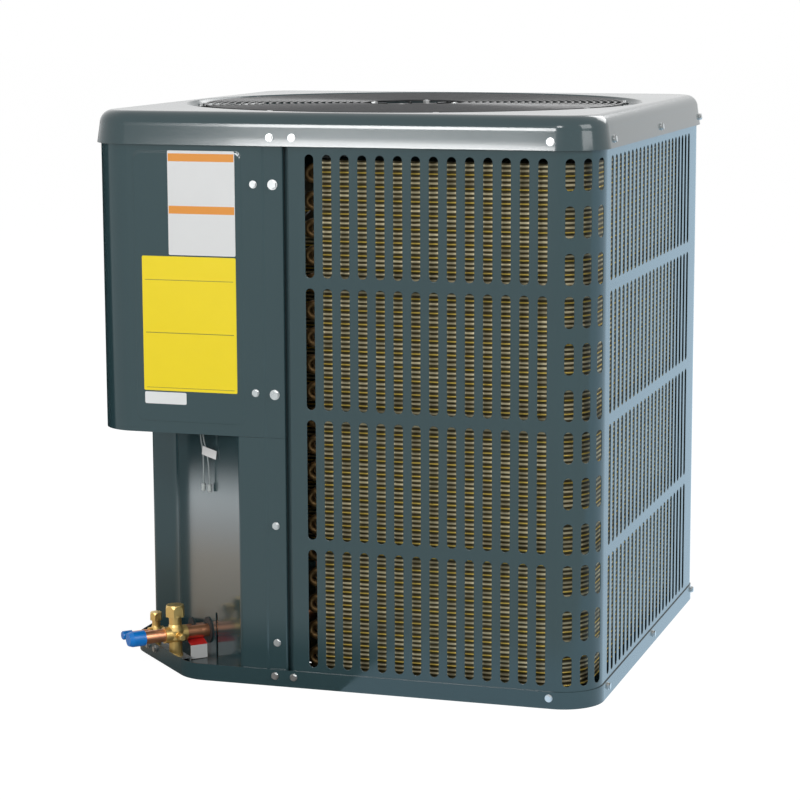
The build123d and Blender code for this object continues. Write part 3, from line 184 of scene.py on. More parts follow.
# ---- walls from plans
class Wall:
    """A plan line with rounded corners, read by the distance u along it.

    Each corner is an arc of its own radius, tangent to both runs; the outward
    normal is on the right hand of the direction of travel.
    """

    def __init__(self, corners, radii, turn_step=5.0):
        corners = [np.array(p, float) for p in corners]
        directions = [(b - a) / np.linalg.norm(b - a) for a, b in zip(corners, corners[1:])]
        xy, tangent = [corners[0]], [directions[0]]
        for corner, before, after, radius in zip(corners[1:-1], directions, directions[1:], radii):
            cross = before[0] * after[1] - before[1] * after[0]
            turn = math.atan2(cross, before @ after)
            reach = radius * math.tan(abs(turn) / 2)
            steps = max(2, math.ceil(abs(math.degrees(turn)) / turn_step))
            side = math.copysign(1.0, turn)
            centre = corner - before * reach + side * radius * np.array([-before[1], before[0]])
            a = np.linspace(0, turn, steps + 1)
            cos, sin = np.cos(a)[:, None], np.sin(a)[:, None]
            left = np.array([-before[1], before[0]])
            xy.extend(centre - side * radius * (cos * left - sin * before))
            tangent.extend(cos * before + sin * left)
        xy.append(corners[-1])
        tangent.append(directions[-1])
        self.xy = np.array(xy)
        self.tangent = np.array(tangent)
        steps = np.linalg.norm(np.diff(self.xy, axis=0), axis=1)
        self.u = np.concatenate([[0], np.cumsum(steps)])
        self.end = self.u[-1]

    def frame_at(self, u):
        x, y, tx, ty = (np.interp(u, self.u, v) for v in (*self.xy.T, *self.tangent.T))
        length = np.hypot(tx, ty)
        return x, y, tx / length, ty / length

    def place(self, u, z, out):
        """World points: plan point at u, moved out along the normal, at height z."""
        x, y, tx, ty = self.frame_at(u)
        return np.stack([x + ty * out, y - tx * out, np.broadcast_to(z, np.shape(x)) + 0.0], -1)

    def turn(self, u, local):
        """World directions of (along u, up, outward) vectors at u."""
        _, _, tx, ty = self.frame_at(u)
        a, up, out = local[..., 0], local[..., 1], local[..., 2]
        return np.stack([a * tx + out * ty, a * ty - out * tx, up + 0.0 * tx], -1)

    def u_of(self, x=None, y=None, after=0.0):
        """The first u past `after` where the plan line reaches this x or y."""
        values = self.xy[:, 0] - x if x is not None else self.xy[:, 1] - y
        crossing = np.flatnonzero((values[:-1] * values[1:] <= 0) & (self.u[1:] > after))[0]
        share = values[crossing] / (values[crossing] - values[crossing + 1])
        return self.u[crossing] + share * (self.u[crossing + 1] - self.u[crossing])

    def samples(self, start, stop):
        inside = self.u[(self.u > start + 0.01) & (self.u < stop - 0.01)]
        return np.concatenate([[start], inside, [stop]])


def add_sheet(shell, wall, u, z, lift=None):
    """Both faces of a stretch of sheet: place(u, z, lift + half sheet) and half a sheet behind."""
    uu, zz = np.meshgrid(u, z)
    lift = np.zeros_like(uu) if lift is None else lift
    front = wall.place(uu, zz, lift + sheet / 2)
    back = wall.place(uu, zz, lift - sheet / 2)
    normal = grid_normals(front)
    shell.add_grid(front, normals=normal)
    shell.add(back, grid_faces(*uu.shape)[:, ::-1], -normal)


def add_edges(shell, wall, u, z, outer, inner):
    """The edges of a thick stretch: along its foot, along its head and up both ends.

    outer is the lift of the outer face at each z; inner is the inner face's one lift.
    """
    def strip(faces, outer_first, normals):
        shell.add_grid(np.stack(faces if outer_first else faces[::-1]), normals=normals)

    for level, up in ((0, -1.0), (-1, 1.0)):
        faces = [wall.place(u, z[level], outer[level]), wall.place(u, z[level], inner)]
        strip(faces, up > 0, np.broadcast_to([0, 0, up], (2, *faces[0].shape)))
    for at, way in ((0.0, -1.0), (wall.end, 1.0)):
        column = np.full(len(z), at)
        faces = [wall.place(column, z, outer), wall.place(column, z, inner)]
        local = np.broadcast_to([way, 0, 0], (2, len(z), 3))
        strip(faces, way < 0, wall.turn(np.full((2, len(z)), at), local))


def add_sheet_edges(shell, wall, low, high):
    add_edges(shell, wall, wall.u, np.array([low, high]), np.full(2, sheet / 2), -sheet / 2)


# ---- the louvres
def slot_cells(length, below, above):
    """Rings of matching points: round the cell, and directions round its slot.

    A slot point is its end's centre plus r(cos a, sin a). The cell point lies the
    same way from that centre, scaled until it meets the side or the end of the cell.
    """
    half_run = (length - slot_width) / 2
    side = slot_pitch / 2
    angle, centre, cell = [], [], []
    ends = ((0.0, above - half_run, half_run), (math.pi, below - half_run, -half_run))
    for start, reach, level in ends:
        corner = math.atan2(reach, side)
        quarter = np.concatenate([
            np.linspace(0, corner, 4), np.linspace(corner, math.pi - corner, 7)[1:-1],
            np.linspace(math.pi - corner, math.pi, 4)])
        a = start + quarter
        scale = np.minimum(side / np.maximum(np.abs(np.cos(a)), 1e-9),
                           reach / np.maximum(np.abs(np.sin(a)), 1e-9))
        angle.append(a)
        centre.append(np.full(len(a), level))
        cell.append(np.stack([scale * np.cos(a), level + scale * np.sin(a)], -1))
    return np.concatenate(angle), np.concatenate(centre), np.concatenate(cell)


def add_slots(shell, wall, u_middles, z_middles, length, below, above):
    """Slots through the sheet, each with rounded edges, in cells one pitch wide."""
    angle, centre, cell = slot_cells(length, below, above)
    cos, sin = np.cos(angle), np.sin(angle)
    r = slot_width / 2
    e = slot_edge_round
    top, bottom = sheet / 2, -sheet / 2
    layers = []
    for kind, grow, out, lean in (
            ("cell", 0, top, 1.0), ("slot", e, top, 1.0), ("slot", 0.3 * e, top - 0.3 * e, 0.7),
            ("slot", 0, 0.0, 0.0), ("slot", 0.3 * e, bottom + 0.3 * e, -0.7), ("slot", e, bottom, -1.0),
            ("cell", 0, bottom, -1.0)):
        if kind == "cell":
            uz = cell
        else:
            uz = np.stack([(r + grow) * cos, centre + (r + grow) * sin], -1)
        flat = math.sqrt(1 - lean * lean)
        normal = np.stack([-cos * flat, -sin * flat, np.full_like(cos, lean)], -1)
        layers.append((uz, out, normal))
    uu, zz = (v.ravel() for v in np.meshgrid(u_middles, z_middles))
    count, ring = len(layers), len(angle)
    u = uu[:, None, None] + np.stack([layer[0][:, 0] for layer in layers])
    z = zz[:, None, None] + np.stack([layer[0][:, 1] for layer in layers])
    out = np.broadcast_to(np.array([layer[1] for layer in layers])[None, :, None], u.shape)
    local = np.broadcast_to(np.stack([layer[2] for layer in layers]), (*u.shape, 3))
    points = wall.place(u, z, out)
    normals = wall.turn(u, local)
    one = grid_faces(count, ring, close_columns=True)
    faces = one[None] + (np.arange(len(uu)) * count * ring)[:, None, None]
    shell.add(points, faces.reshape(-1, 4), normals)


def groove_line():
    edge = louvre_edge + sheet / 2
    depth = -mid + groove_depth
    return [(edge - groove_lap, depth), (edge, depth), (edge, -mid)]


def louvre_panel(name, mirrored):
    """Front face, rounded corner and side face of louvres, and the back return."""
    if mirrored:
        tail = [(mid, -mid), (mid, seam_start - seam_play)]
        radii = [fold_radius] * 2 + [corner_radius - sheet / 2]
    else:
        inner = mid - sheet - seat_gap
        tail = [(mid, -mid), (mid, mid), (seam_start, mid),
                (seam_start - seam_joggle, inner), (seam_start - seam_joggle - seam_lap, inner)]
        radii = [fold_radius] * 2 + [corner_radius - sheet / 2] * 2 + [seam_fold_radius] * 2
    wall = Wall(groove_line() + tail, radii)
    low, high = panel_low[2], panel_high[2]
    margin = (slot_row_pitch - slot_length) / 2
    rows = slot_low_end + slot_length / 2 + slot_row_pitch * np.arange(slot_rows)
    cells_low, cells_high = rows[0] - slot_row_pitch / 2, rows[-1] + slot_row_pitch / 2
    front_u = wall.u_of(x=front_slot_first) + slot_pitch * np.arange(front_slot_columns)
    side_u = wall.u_of(y=side_slot_first) + slot_pitch * np.arange(side_slot_columns)
    arc_centre = half - corner_radius
    arc_start = wall.u_of(x=arc_centre)
    arc_end = wall.u_of(y=-arc_centre)
    steps = np.arange(corner_slot_columns) - (corner_slot_columns - 1) / 2
    middle_share = (corner_radius - sheet / 2) / corner_radius
    corner_u = (arc_start + arc_end) / 2 + slot_pitch * steps * middle_share
    bounds = [(c[0] - slot_pitch / 2, c[-1] + slot_pitch / 2) for c in (front_u, corner_u, side_u)]

    shell = Shell()
    add_slots(shell, wall, front_u, rows, slot_length, slot_row_pitch / 2, slot_row_pitch / 2)
    add_slots(shell, wall, side_u, rows, slot_length, slot_row_pitch / 2, slot_row_pitch / 2)
    step = (slot_length - short_slot_length) / (short_slots_per_row - 1)
    inner_half, outer_half = step / 2, short_slot_length / 2 + margin
    for part in range(short_slots_per_row):
        levels = rows + step * (part - (short_slots_per_row - 1) / 2)
        below = outer_half if part == 0 else inner_half
        above = outer_half if part == short_slots_per_row - 1 else inner_half
        add_slots(shell, wall, corner_u, levels, short_slot_length, below, above)
    plain = [(0.0, bounds[0][0]), (bounds[0][1], bounds[1][0]), (bounds[1][1], bounds[2][0]),
             (bounds[2][1], wall.end)]
    for start, stop in plain:
        add_sheet(shell, wall, wall.samples(start, stop), [cells_low, cells_high])
    for z in ([low, cells_low], [cells_high, high]):
        add_sheet(shell, wall, wall.u, z)
    add_sheet_edges(shell, wall, low, high)
    return shell.make(name, mirrored=mirrored)


# ---- control cover
def smooth_step(x):
    x = np.clip(x, 0, 1)
    return x * x * (3 - 2 * x)


def control_cover():
    """Wrapped cover with stepped lands and a raised field on its front.

    Lift = raise x smooth step of the distance inside the field's rounded rectangle.
    """
    edge = cover_edge - sheet / 2
    land_end = cover_edge - land_width
    back = -mid + groove_depth - sheet / 2 - seat_gap
    front = [(land_end - land_step, -mid), (land_end + land_step, -mid + land_step),
             (edge, -mid + land_step), (edge, back)]
    left = [(y, x) for x, y in front][::-1]
    wall = Wall(left + [(-mid, -mid)] + front,
                [fold_radius] * 3 + [corner_radius - sheet / 2] + [fold_radius] * 3)
    low, high = cover_low[2], cover_high[2]
    across = -np.array([0, 0.8, 1.6, field_blend, 5, 8, field_radius])
    x_lines = np.concatenate([field_left - across, field_right + across])
    front_from = wall.u_of(y=-mid + 0.001, after=wall.end / 2)
    u_field = [wall.u_of(x=x, after=wall.end / 2) for x in x_lines]
    front_lines = np.linspace(front_from, wall.end - cover_land_margin, 24)
    u = np.unique(np.concatenate([wall.u, u_field, front_lines]).round(4))
    field_lines = np.linspace(field_low + field_radius, field_top - field_radius, 8)
    z = np.unique(np.concatenate([
        [low, high], field_low - across, field_top + across, field_lines]).round(4))
    uu, zz = np.meshgrid(u, z)
    x = wall.frame_at(uu)[0]
    on_front = uu > wall.end / 2
    cx, cz = (field_left + field_right) / 2, (field_low + field_top) / 2
    qx = np.abs(x - cx) - (field_right - field_left) / 2 + field_radius
    qz = np.abs(zz - cz) - (field_top - field_low) / 2 + field_radius
    beyond_corner = np.hypot(np.maximum(qx, 0), np.maximum(qz, 0))
    outside = beyond_corner + np.minimum(np.maximum(qx, qz), 0) - field_radius
    lift = np.where(on_front, field_raise * smooth_step(-outside / field_blend), 0.0)
    shell = Shell()
    add_sheet(shell, wall, u, z, lift)
    add_sheet_edges(shell, wall, low, high)
    return shell.make("control_cover_skin")


# ---- top cap
def square_ring(reach, radius, arc_steps=12, side_steps=16):
    """Points and outward normals round a rounded square, anticlockwise from the right face."""
    centre = reach - radius
    points, normals = [], []
    for quarter in range(4):
        turn = math.pi / 2 * quarter
        run = np.linspace(-centre, centre, side_steps, endpoint=False)
        side = np.stack([np.full_like(run, reach), run], -1)
        a = np.linspace(0, math.pi / 2, arc_steps, endpoint=False)
        direction = np.stack([np.cos(a), np.sin(a)], -1)
        arc = centre + radius * direction
        spin = np.array([[math.cos(turn), math.sin(turn)], [-math.sin(turn), math.cos(turn)]])
        points.append(np.concatenate([side, arc]) @ spin)
        normals.append(np.concatenate([np.tile([1.0, 0.0], (len(run), 1)), direction]) @ spin)
    return np.concatenate(points), np.concatenate(normals)


def arc_points(centre, radius, start, stop, count):
    a = np.radians(np.linspace(start, stop, count))
    return np.stack([centre[0] + radius * np.cos(a), centre[1] + radius * np.sin(a)], -1)


cap_top = cap_high[2]
cap_crease = 792.0
venturi_drop = 40.0                     # how far the venturi hangs below the skirt's lip
cap_lip = cap_low[2] + venturi_drop
cap_flare = 4.0
hub_plate_thick = 2.5
hub_plate_lap = 0.5                     # how far the arms sink into the hub plate
seat_top = guard_low[2] + (hub_plate_thick - hub_plate_lap)
seat_ring_radius = 340.0
venturi_radius = 291.0
venturi_roll = 12.0


def top_cap():
    """Drawn cap: a profile carried round a rounded square that turns into circles inside.

    Skirt points are moved out from the square by the profile's offset; ring points
    lie at the profile's radius, at the same angle round the centre.
    """
    lip = cap_lip
    roll_centre = (venturi_radius + venturi_roll, seat_top - venturi_roll)
    reach = half + seat_gap + sheet
    ring, normal = square_ring(reach, corner_radius + seat_gap + sheet)
    roll = cap_top - cap_crease
    skirt = np.concatenate([
        [(cap_flare - sheet, lip), (cap_flare - sheet * 0.2, lip), (cap_flare, lip + 0.3)],
        [(cap_flare * 0.5, (lip + cap_crease) / 2), (0.25, cap_crease - 1.6), (0.0, cap_crease)],
        arc_points((-roll, cap_crease), roll, 8, 90, 14)])
    under = np.concatenate([
        arc_points((-roll, cap_crease), roll - sheet, 90, 0, 8),
        [(cap_flare - sheet, lip)]])
    seat = np.concatenate([
        [(seat_ring_radius + 3, cap_top)],
        arc_points((seat_ring_radius + 1, cap_top - 2), 2, 90, 165, 5),
        [(seat_ring_radius - 3, seat_top + 0.6), (seat_ring_radius - 4.4, seat_top)],
        [(venturi_radius + venturi_roll + 8, seat_top)],
        arc_points(roll_centre, venturi_roll, 90, 180, 9),
        [(venturi_radius, cap_low[2])],
        [(venturi_radius + sheet, cap_low[2])],
        arc_points(roll_centre, venturi_roll - sheet, 180, 90, 7),
        [(seat_ring_radius - 3, seat_top - sheet), (seat_ring_radius, cap_top - sheet),
         (seat_ring_radius + 3, cap_top - sheet)]])
    angle = np.arctan2(ring[:, 1], ring[:, 0])
    spoke = np.stack([np.cos(angle), np.sin(angle)], -1)

    def rows(profile, start, way):
        xy = start + profile[:, None, :1] * way[None]
        return np.concatenate([xy, np.broadcast_to(profile[:, None, 1:], (*xy.shape[:2], 1))], -1)

    grid = np.concatenate([rows(skirt, ring, normal), rows(seat, 0.0, spoke), rows(under, ring, normal)])
    shell = Shell()
    shell.add_grid(grid, close_columns=True)
    return shell.make("top_cap_skin")


# ---- fan guard
guard_wire = 3.0
guard_ring_first = 79.5
guard_ring_pitch = 10.5
guard_ring_count = 23
guard_arms = 8
guard_arm_turn = 22.5
guard_screw_radius = 317.5
hub_plate = (50.0, 76.0)
eyelet_radius = 7.2
eyelet_hole = 2.5
eyelet_thick = 1.6


def revolved(shell, profile, steps, centre=(0.0, 0.0)):
    """A closed profile of (radius, height) carried round an upright axis."""
    a = np.linspace(0, 2 * math.pi, steps, endpoint=False)
    r, z = profile[:, 0][:, None], profile[:, 1][:, None]
    grid = np.stack([centre[0] + r * np.cos(a), centre[1] + r * np.sin(a), z + 0 * a], -1)
    shell.add_grid(grid, close_rows=True, close_columns=True)


def rounded_profile(r0, r1, z0, z1, edge):
    """A closed rectangle of radius and height with small rounded edges."""
    corners = [(r1 - edge, z0 + edge, -90), (r1 - edge, z1 - edge, 0),
               (r0 + edge, z1 - edge, 90), (r0 + edge, z0 + edge, 180)]
    return np.concatenate([arc_points((r, z), edge, start, start + 90, 3) for r, z, start in corners])


def fan_guard():
    """Concentric wires on radial wires, with flattened eyelets and a pressed hub plate.

    A ring is (R + w cos b) round the axis at height w sin b; an arm is a wire of the
    same section with domed ends.
    """
    shell = Shell()
    w = guard_wire / 2
    level = seat_top + 1.4 * guard_wire
    section = arc_points((0.0, 0.0), w, 0, 360, 9)[:-1]
    for i in range(guard_ring_count):
        radius = guard_ring_first + guard_ring_pitch * i
        revolved(shell, section + (radius, level), 64 + 4 * i)
    hub_high = seat_top + hub_plate_lap
    revolved(shell, rounded_profile(*hub_plate, hub_high - hub_plate_thick, hub_high, 0.8), 96)
    start, stop = hub_plate[0] + 4, guard_screw_radius - eyelet_radius + 1.2
    swell = np.sqrt(1 - (1 - np.array([0.0, 0.5, 0.87, 1.0])) ** 2)
    along = np.concatenate([start + w * (1 - swell), stop - w * (1 - swell[::-1])])
    size = np.concatenate([swell, swell[::-1]]) * w
    b = np.linspace(0, 2 * math.pi, 8, endpoint=False)
    for i in range(guard_arms):
        turn = math.radians(guard_arm_turn + 360 / guard_arms * i)
        side = size[:, None] * np.cos(b)
        r = along[:, None] + 0 * b
        z = seat_top + w + size[:, None] * np.sin(b)
        x = r * math.cos(turn) - side * math.sin(turn)
        y = r * math.sin(turn) + side * math.cos(turn)
        grid = np.stack([x, y, z], -1)
        shell.add_grid(grid[:, ::-1], close_columns=True)
        centre = (guard_screw_radius * math.cos(turn), guard_screw_radius * math.sin(turn))
        eyelet = rounded_profile(eyelet_hole, eyelet_radius, seat_top, seat_top + eyelet_thick, 0.5)
        revolved(shell, eyelet, 20, centre)
    return shell.make("fan_guard_wires")


# ---- coil
tube_pitch = 19.05
tube_line_start = 24.5                  # level of the lowest collar line
fin_ripple = 0.5
collar_rise = 0.8
collar_width = 0.9
coil_depth = 38.0
coil_start = -34.0                      # where the fins begin on the front and end on the left
coil_corner_radius = 66.0


def coil_skin():
    """The fin pack: an outer face rippled between the collar lines of its tube rows.

    Lift = collar x narrow bell at each tube line + ripple x cosine of three waves a pitch.
    """
    outer = coil_high[0]
    plan = [(coil_start, -outer), (outer, -outer), (outer, outer), (-outer, outer), (-outer, coil_start)]
    wall = Wall(plan, [coil_corner_radius] * 3, 4.0)
    low, high = coil_low[2], coil_high[2]
    rows = int(round((high - low) / tube_pitch))
    shares = np.array([0.0, 0.04, 0.08, 0.16, 0.26, 0.36, 0.46, 0.52, 0.6, 0.7, 0.8, 0.88, 0.94, 0.97])
    turns = np.arange(-1, rows + 1)[:, None] + shares
    z = (tube_line_start + tube_pitch * turns).ravel()
    z = np.unique(np.concatenate([[low, high], z[(z > low) & (z < high)]]).round(3))
    phase = (z - tube_line_start) / tube_pitch
    near = np.abs(phase - np.round(phase)) * tube_pitch
    collar = collar_rise * np.exp(-(near / collar_width) ** 2)
    lift = collar + fin_ripple * np.cos(2 * math.pi * 3 * phase) - fin_ripple
    u = np.unique(np.concatenate([wall.u, np.linspace(0, wall.end, 90)]).round(3))
    uu, zz = np.meshgrid(u, z)
    shell = Shell()
    shell.add_grid(wall.place(uu, zz, np.broadcast_to(lift[:, None] - collar_rise, uu.shape)))
    inner = wall.place(uu[[0, -1]], zz[[0, -1]], -coil_depth)
    shell.add(inner, grid_faces(2, len(u))[:, ::-1], -grid_normals(inner))
    add_edges(shell, wall, u, z, lift - collar_rise, -coil_depth)
    return shell.make("coil_fin_pack")


# ---- labels
label_thick = 0.12
label_corner = 2.0


def sticker(name, x0, x1, z0, z1, radius, proud):
    """A thin label on the front: a rounded rectangle shrunk in rings to its middle."""
    y = -half - proud
    a = np.radians(np.concatenate([np.linspace(q, q + 90, 6) for q in (0, 90, 180, 270)]))
    quarter = np.repeat([0, 1, 2, 3], 6)
    cx = np.array([x1 - radius, x0 + radius, x0 + radius, x1 - radius])[quarter]
    cz = np.array([z1 - radius, z1 - radius, z0 + radius, z0 + radius])[quarter]
    x, z = cx + radius * np.cos(a), cz + radius * np.sin(a)
    mx, mz = (x0 + x1) / 2, (z0 + z1) / 2
    crown = label_thick * 1.2
    grid = np.stack([
        np.stack([mx + (x - mx) * share, np.full_like(x, y - out), mz + (z - mz) * share], -1)
        for share, out in ((1.0, 0.0), (1.0, label_thick), (0.995, crown), (0.5, crown), (0.0, crown))])
    shell = Shell()
    normal = np.broadcast_to([0.0, -1.0, 0.0], grid.shape)
    shell.add(grid, grid_faces(*grid.shape[:2], close_columns=True), normal)
    return shell.make(name)


label_proud = field_raise + 0.02         # 0.02 keeps the card clear of the paint
warning_label = (-247.0, -147.0, 611.0, 757.0)
energy_label = (-288.0, -147.0, 418.0, 609.0)
code_label = (-287.0, -224.0, 399.0, 416.0)


# ---- materials
def node_group(name, inputs, outputs, build):
    """A shader node group with named sockets; build(nodes, links, inner, outer) fills it."""
    tree = bpy.data.node_groups.new(name, "ShaderNodeTree")
    for label, kind, value in inputs:
        socket = tree.interface.new_socket(label, in_out="INPUT", socket_type=kind)
        socket.default_value = value
    for label, kind in outputs:
        tree.interface.new_socket(label, in_out="OUTPUT", socket_type=kind)
    inner = tree.nodes.new("NodeGroupInput")
    outer = tree.nodes.new("NodeGroupOutput")
    build(tree.nodes, tree.links, inner, outer)
    return tree


FLOAT, COLOUR, VECTOR = "NodeSocketFloat", "NodeSocketColor", "NodeSocketVector"


def object_place(nodes):
    return nodes.new("ShaderNodeTexCoord").outputs["Object"]


def object_axes(nodes, links):
    """The object's X, Y and Z at the shaded point, in metres."""
    parts = nodes.new("ShaderNodeSeparateXYZ")
    links.new(object_place(nodes), parts.inputs[0])
    return parts.outputs


def object_noise(nodes, links, detail, scale):
    """Noise over the object; scale is a number or the socket that gives it."""
    noise = nodes.new("ShaderNodeTexNoise")
    noise.inputs["Detail"].default_value = detail
    links.new(object_place(nodes), noise.inputs["Vector"])
    if isinstance(scale, bpy.types.NodeSocket):
        links.new(scale, noise.inputs["Scale"])
    else:
        noise.inputs["Scale"].default_value = scale
    return noise.outputs["Fac"]


def map_range(nodes, links, value, low, high, kind="LINEAR"):
    """0 at low and 1 at high; kind is the shape of the rise between."""
    node = nodes.new("ShaderNodeMapRange")
    node.interpolation_type = kind
    node.inputs["From Min"].default_value = low
    node.inputs["From Max"].default_value = high
    links.new(value, node.inputs["Value"])
    return node.outputs[0]


def build_mottle(nodes, links, inner, outer):
    """Colour and roughness drift with a soft noise of the given size."""
    noise = object_noise(nodes, links, 4.0, inner.outputs["Patches"])
    centred = math_node(nodes, links, "SUBTRACT", noise, 0.5)
    swing = math_node(nodes, links, "MULTIPLY", centred, inner.outputs["Spread"])
    gain = math_node(nodes, links, "ADD", swing, 1.0)
    tint = nodes.new("ShaderNodeVectorMath")
    tint.operation = "SCALE"
    links.new(inner.outputs["Colour"], tint.inputs[0])
    links.new(gain, tint.inputs["Scale"])
    links.new(tint.outputs["Vector"], outer.inputs["Colour"])
    rough = math_node(nodes, links, "MULTIPLY", centred, inner.outputs["Rough Spread"])
    links.new(math_node(nodes, links, "ADD", rough, inner.outputs["Rough"]), outer.inputs["Rough"])


def build_grain(nodes, links, inner, outer):
    """A fine raised grain, as a normal."""
    noise = object_noise(nodes, links, 2.0, inner.outputs["Fineness"])
    bump = nodes.new("ShaderNodeBump")
    bump.inputs["Strength"].default_value = 1.0
    links.new(inner.outputs["Height"], bump.inputs["Distance"])
    links.new(noise, bump.inputs["Height"])
    links.new(bump.outputs["Normal"], outer.inputs["Normal"])


def build_dust(nodes, links, inner, outer):
    """Pale dust gathers on faces that look up, broken by noise."""
    noise = object_noise(nodes, links, 5.0, 30.0)
    facing = nodes.new("ShaderNodeSeparateXYZ")
    geometry = nodes.new("ShaderNodeNewGeometry")
    links.new(geometry.outputs["Normal"], facing.inputs[0])
    up = nodes.new("ShaderNodeClamp")
    links.new(facing.outputs["Z"], up.inputs["Value"])
    mask = math_node(nodes, links, "MULTIPLY", up.outputs["Result"], noise)
    mask = math_node(nodes, links, "MULTIPLY", mask, inner.outputs["Amount"])
    mix = mix_colour(nodes, links, mask, inner.outputs["Colour"], inner.outputs["Dust"])
    links.new(mix, outer.inputs["Colour"])


def math_node(nodes, links, operation, a, b=0.5, clamp=False):
    node = nodes.new("ShaderNodeMath")
    node.operation = operation
    node.use_clamp = clamp
    for socket, value in zip(node.inputs, (a, b)):
        if isinstance(value, (int, float)):
            socket.default_value = value
        else:
            links.new(value, socket)
    return node.outputs[0]


def mix_colour(nodes, links, share, a, b):
    node = nodes.new("ShaderNodeMix")
    node.data_type = "RGBA"
    sockets = (node.inputs[0], node.inputs[6], node.inputs[7])
    for socket, value in zip(sockets, (share, a, b)):
        if isinstance(value, (int, float)):
            socket.default_value = value
        elif isinstance(value, tuple):
            socket.default_value = (*value, 1.0)
        else:
            links.new(value, socket)
    return node.outputs[2]


mottle = node_group(
    "mottle",
    [("Colour", COLOUR, (0.5, 0.5, 0.5, 1)), ("Patches", FLOAT, 8.0), ("Spread", FLOAT, 0.1),
     ("Rough", FLOAT, 0.5), ("Rough Spread", FLOAT, 0.1)],
    [("Colour", COLOUR), ("Rough", FLOAT)], build_mottle)
grain = node_group(
    "grain", [("Fineness", FLOAT, 900.0), ("Height", FLOAT, 0.0001)], [("Normal", VECTOR)], build_grain)
dust = node_group(
    "dust",
    [("Colour", COLOUR, (0.5, 0.5, 0.5, 1)), ("Dust", COLOUR, (0.4, 0.38, 0.34, 1)), ("Amount", FLOAT, 0.2)],
    [("Colour", COLOUR)], build_dust)


def place_group(material, tree, **values):
    node = material.node_tree.nodes.new("ShaderNodeGroup")
    node.node_tree = tree
    for label, value in values.items():
        socket = node.inputs[label.replace("_", " ").title()]
        if isinstance(value, bpy.types.NodeSocket):
            material.node_tree.links.new(value, socket)
        else:
            socket.default_value = value
    return node


def blank_material(name):
    material = bpy.data.materials.new(name)
    material.use_nodes = True
    tree = material.node_tree
    return material, tree.nodes, tree.links, tree.nodes["Principled BSDF"]


def add_grain(material, shader, fineness, height):
    texture = place_group(material, grain, fineness=fineness, height=height)
    material.node_tree.links.new(texture.outputs["Normal"], shader.inputs["Normal"])


def finish(name, colour, rough, metallic=0.0, coat=0.0, coat_rough=0.05, patches=9.0, spread_by=0.12,
           rough_by=0.1, fineness=900.0, height=0.00002, dusty=0.0):
    """A solid finish: mottled colour and roughness, a fine grain, and dust on top."""
    material, nodes, links, shader = blank_material(name)
    tone = place_group(material, mottle, colour=(*colour, 1.0), patches=patches, spread=spread_by,
                       rough=rough, rough_spread=rough_by)
    source = tone.outputs["Colour"]
    if dusty:
        source = place_group(material, dust, colour=source, amount=dusty).outputs["Colour"]
    links.new(source, shader.inputs["Base Color"])
    links.new(tone.outputs["Rough"], shader.inputs["Roughness"])
    add_grain(material, shader, fineness, height)
    shader.inputs["Metallic"].default_value = metallic
    shader.inputs["Coat Weight"].default_value = coat
    shader.inputs["Coat Roughness"].default_value = coat_rough
    return material


def coil_finish():
    """Gold-tinted fins with painted light: collar lines painted bright as tube glints, two painted highlights
    on the bulges between, painted shade in the gaps.
    """
    material, nodes, links, shader = blank_material("coated fin pack")
    axes = object_axes(nodes, links)
    level = math_node(nodes, links, "SUBTRACT", axes["Z"], tube_line_start * MM)
    turns = math_node(nodes, links, "DIVIDE", level, tube_pitch * MM)
    phase = math_node(nodes, links, "FRACT", turns)
    wave = math_node(nodes, links, "COSINE", math_node(nodes, links, "MULTIPLY", phase, 6 * math.pi))
    # Painted highlight on the two fin bulges in each pitch.
    bulge_highlight = map_range(nodes, links, wave, -0.35, 0.75, "SMOOTHSTEP")
    away = math_node(nodes, links, "PINGPONG", turns, 0.5)
    # Painted glint along each collar line.
    line = map_range(nodes, links, away, 0.075, 0.03, "SMOOTHSTEP")
    clear = map_range(nodes, links, away, 0.12, 0.2, "SMOOTHSTEP")
    cells = nodes.new("ShaderNodeCombineXYZ")
    third = math_node(nodes, links, "FLOOR", math_node(nodes, links, "MULTIPLY", turns, 3.0))
    around = math_node(nodes, links, "ADD", axes["X"], axes["Y"])
    column = math_node(nodes, links, "FLOOR", math_node(nodes, links, "DIVIDE", around, slot_pitch * MM))
    links.new(third, cells.inputs["X"])
    links.new(column, cells.inputs["Y"])
    chance = nodes.new("ShaderNodeTexWhiteNoise")
    chance.noise_dimensions = "2D"
    links.new(cells.outputs[0], chance.inputs["Vector"])
    soft = math_node(nodes, links, "MULTIPLY", object_noise(nodes, links, 3.0, 34.0), 0.8)
    bright = math_node(nodes, links, "MULTIPLY", chance.outputs["Value"], 0.55)
    bright = math_node(nodes, links, "ADD", bright, soft)
    share = math_node(nodes, links, "MULTIPLY", bulge_highlight, clear)
    share = math_node(nodes, links, "MULTIPLY", share, bright, clamp=True)
    # Painted shade in the gaps (dark colour), lifted to painted highlights (pale colour); their strength
    # differs at random by cell.
    body = mix_colour(nodes, links, share, (0.055, 0.043, 0.012), (1.0, 0.87, 0.55))
    # The collar lines take a painted glint colour over the rest.
    colour = mix_colour(nodes, links, line, body, (0.85, 0.62, 0.12))
    links.new(colour, shader.inputs["Base Color"])
    shader.inputs["Metallic"].default_value = 0.35
    shader.inputs["Roughness"].default_value = 0.42
    add_grain(material, shader, 700.0, 0.0002)
    return material


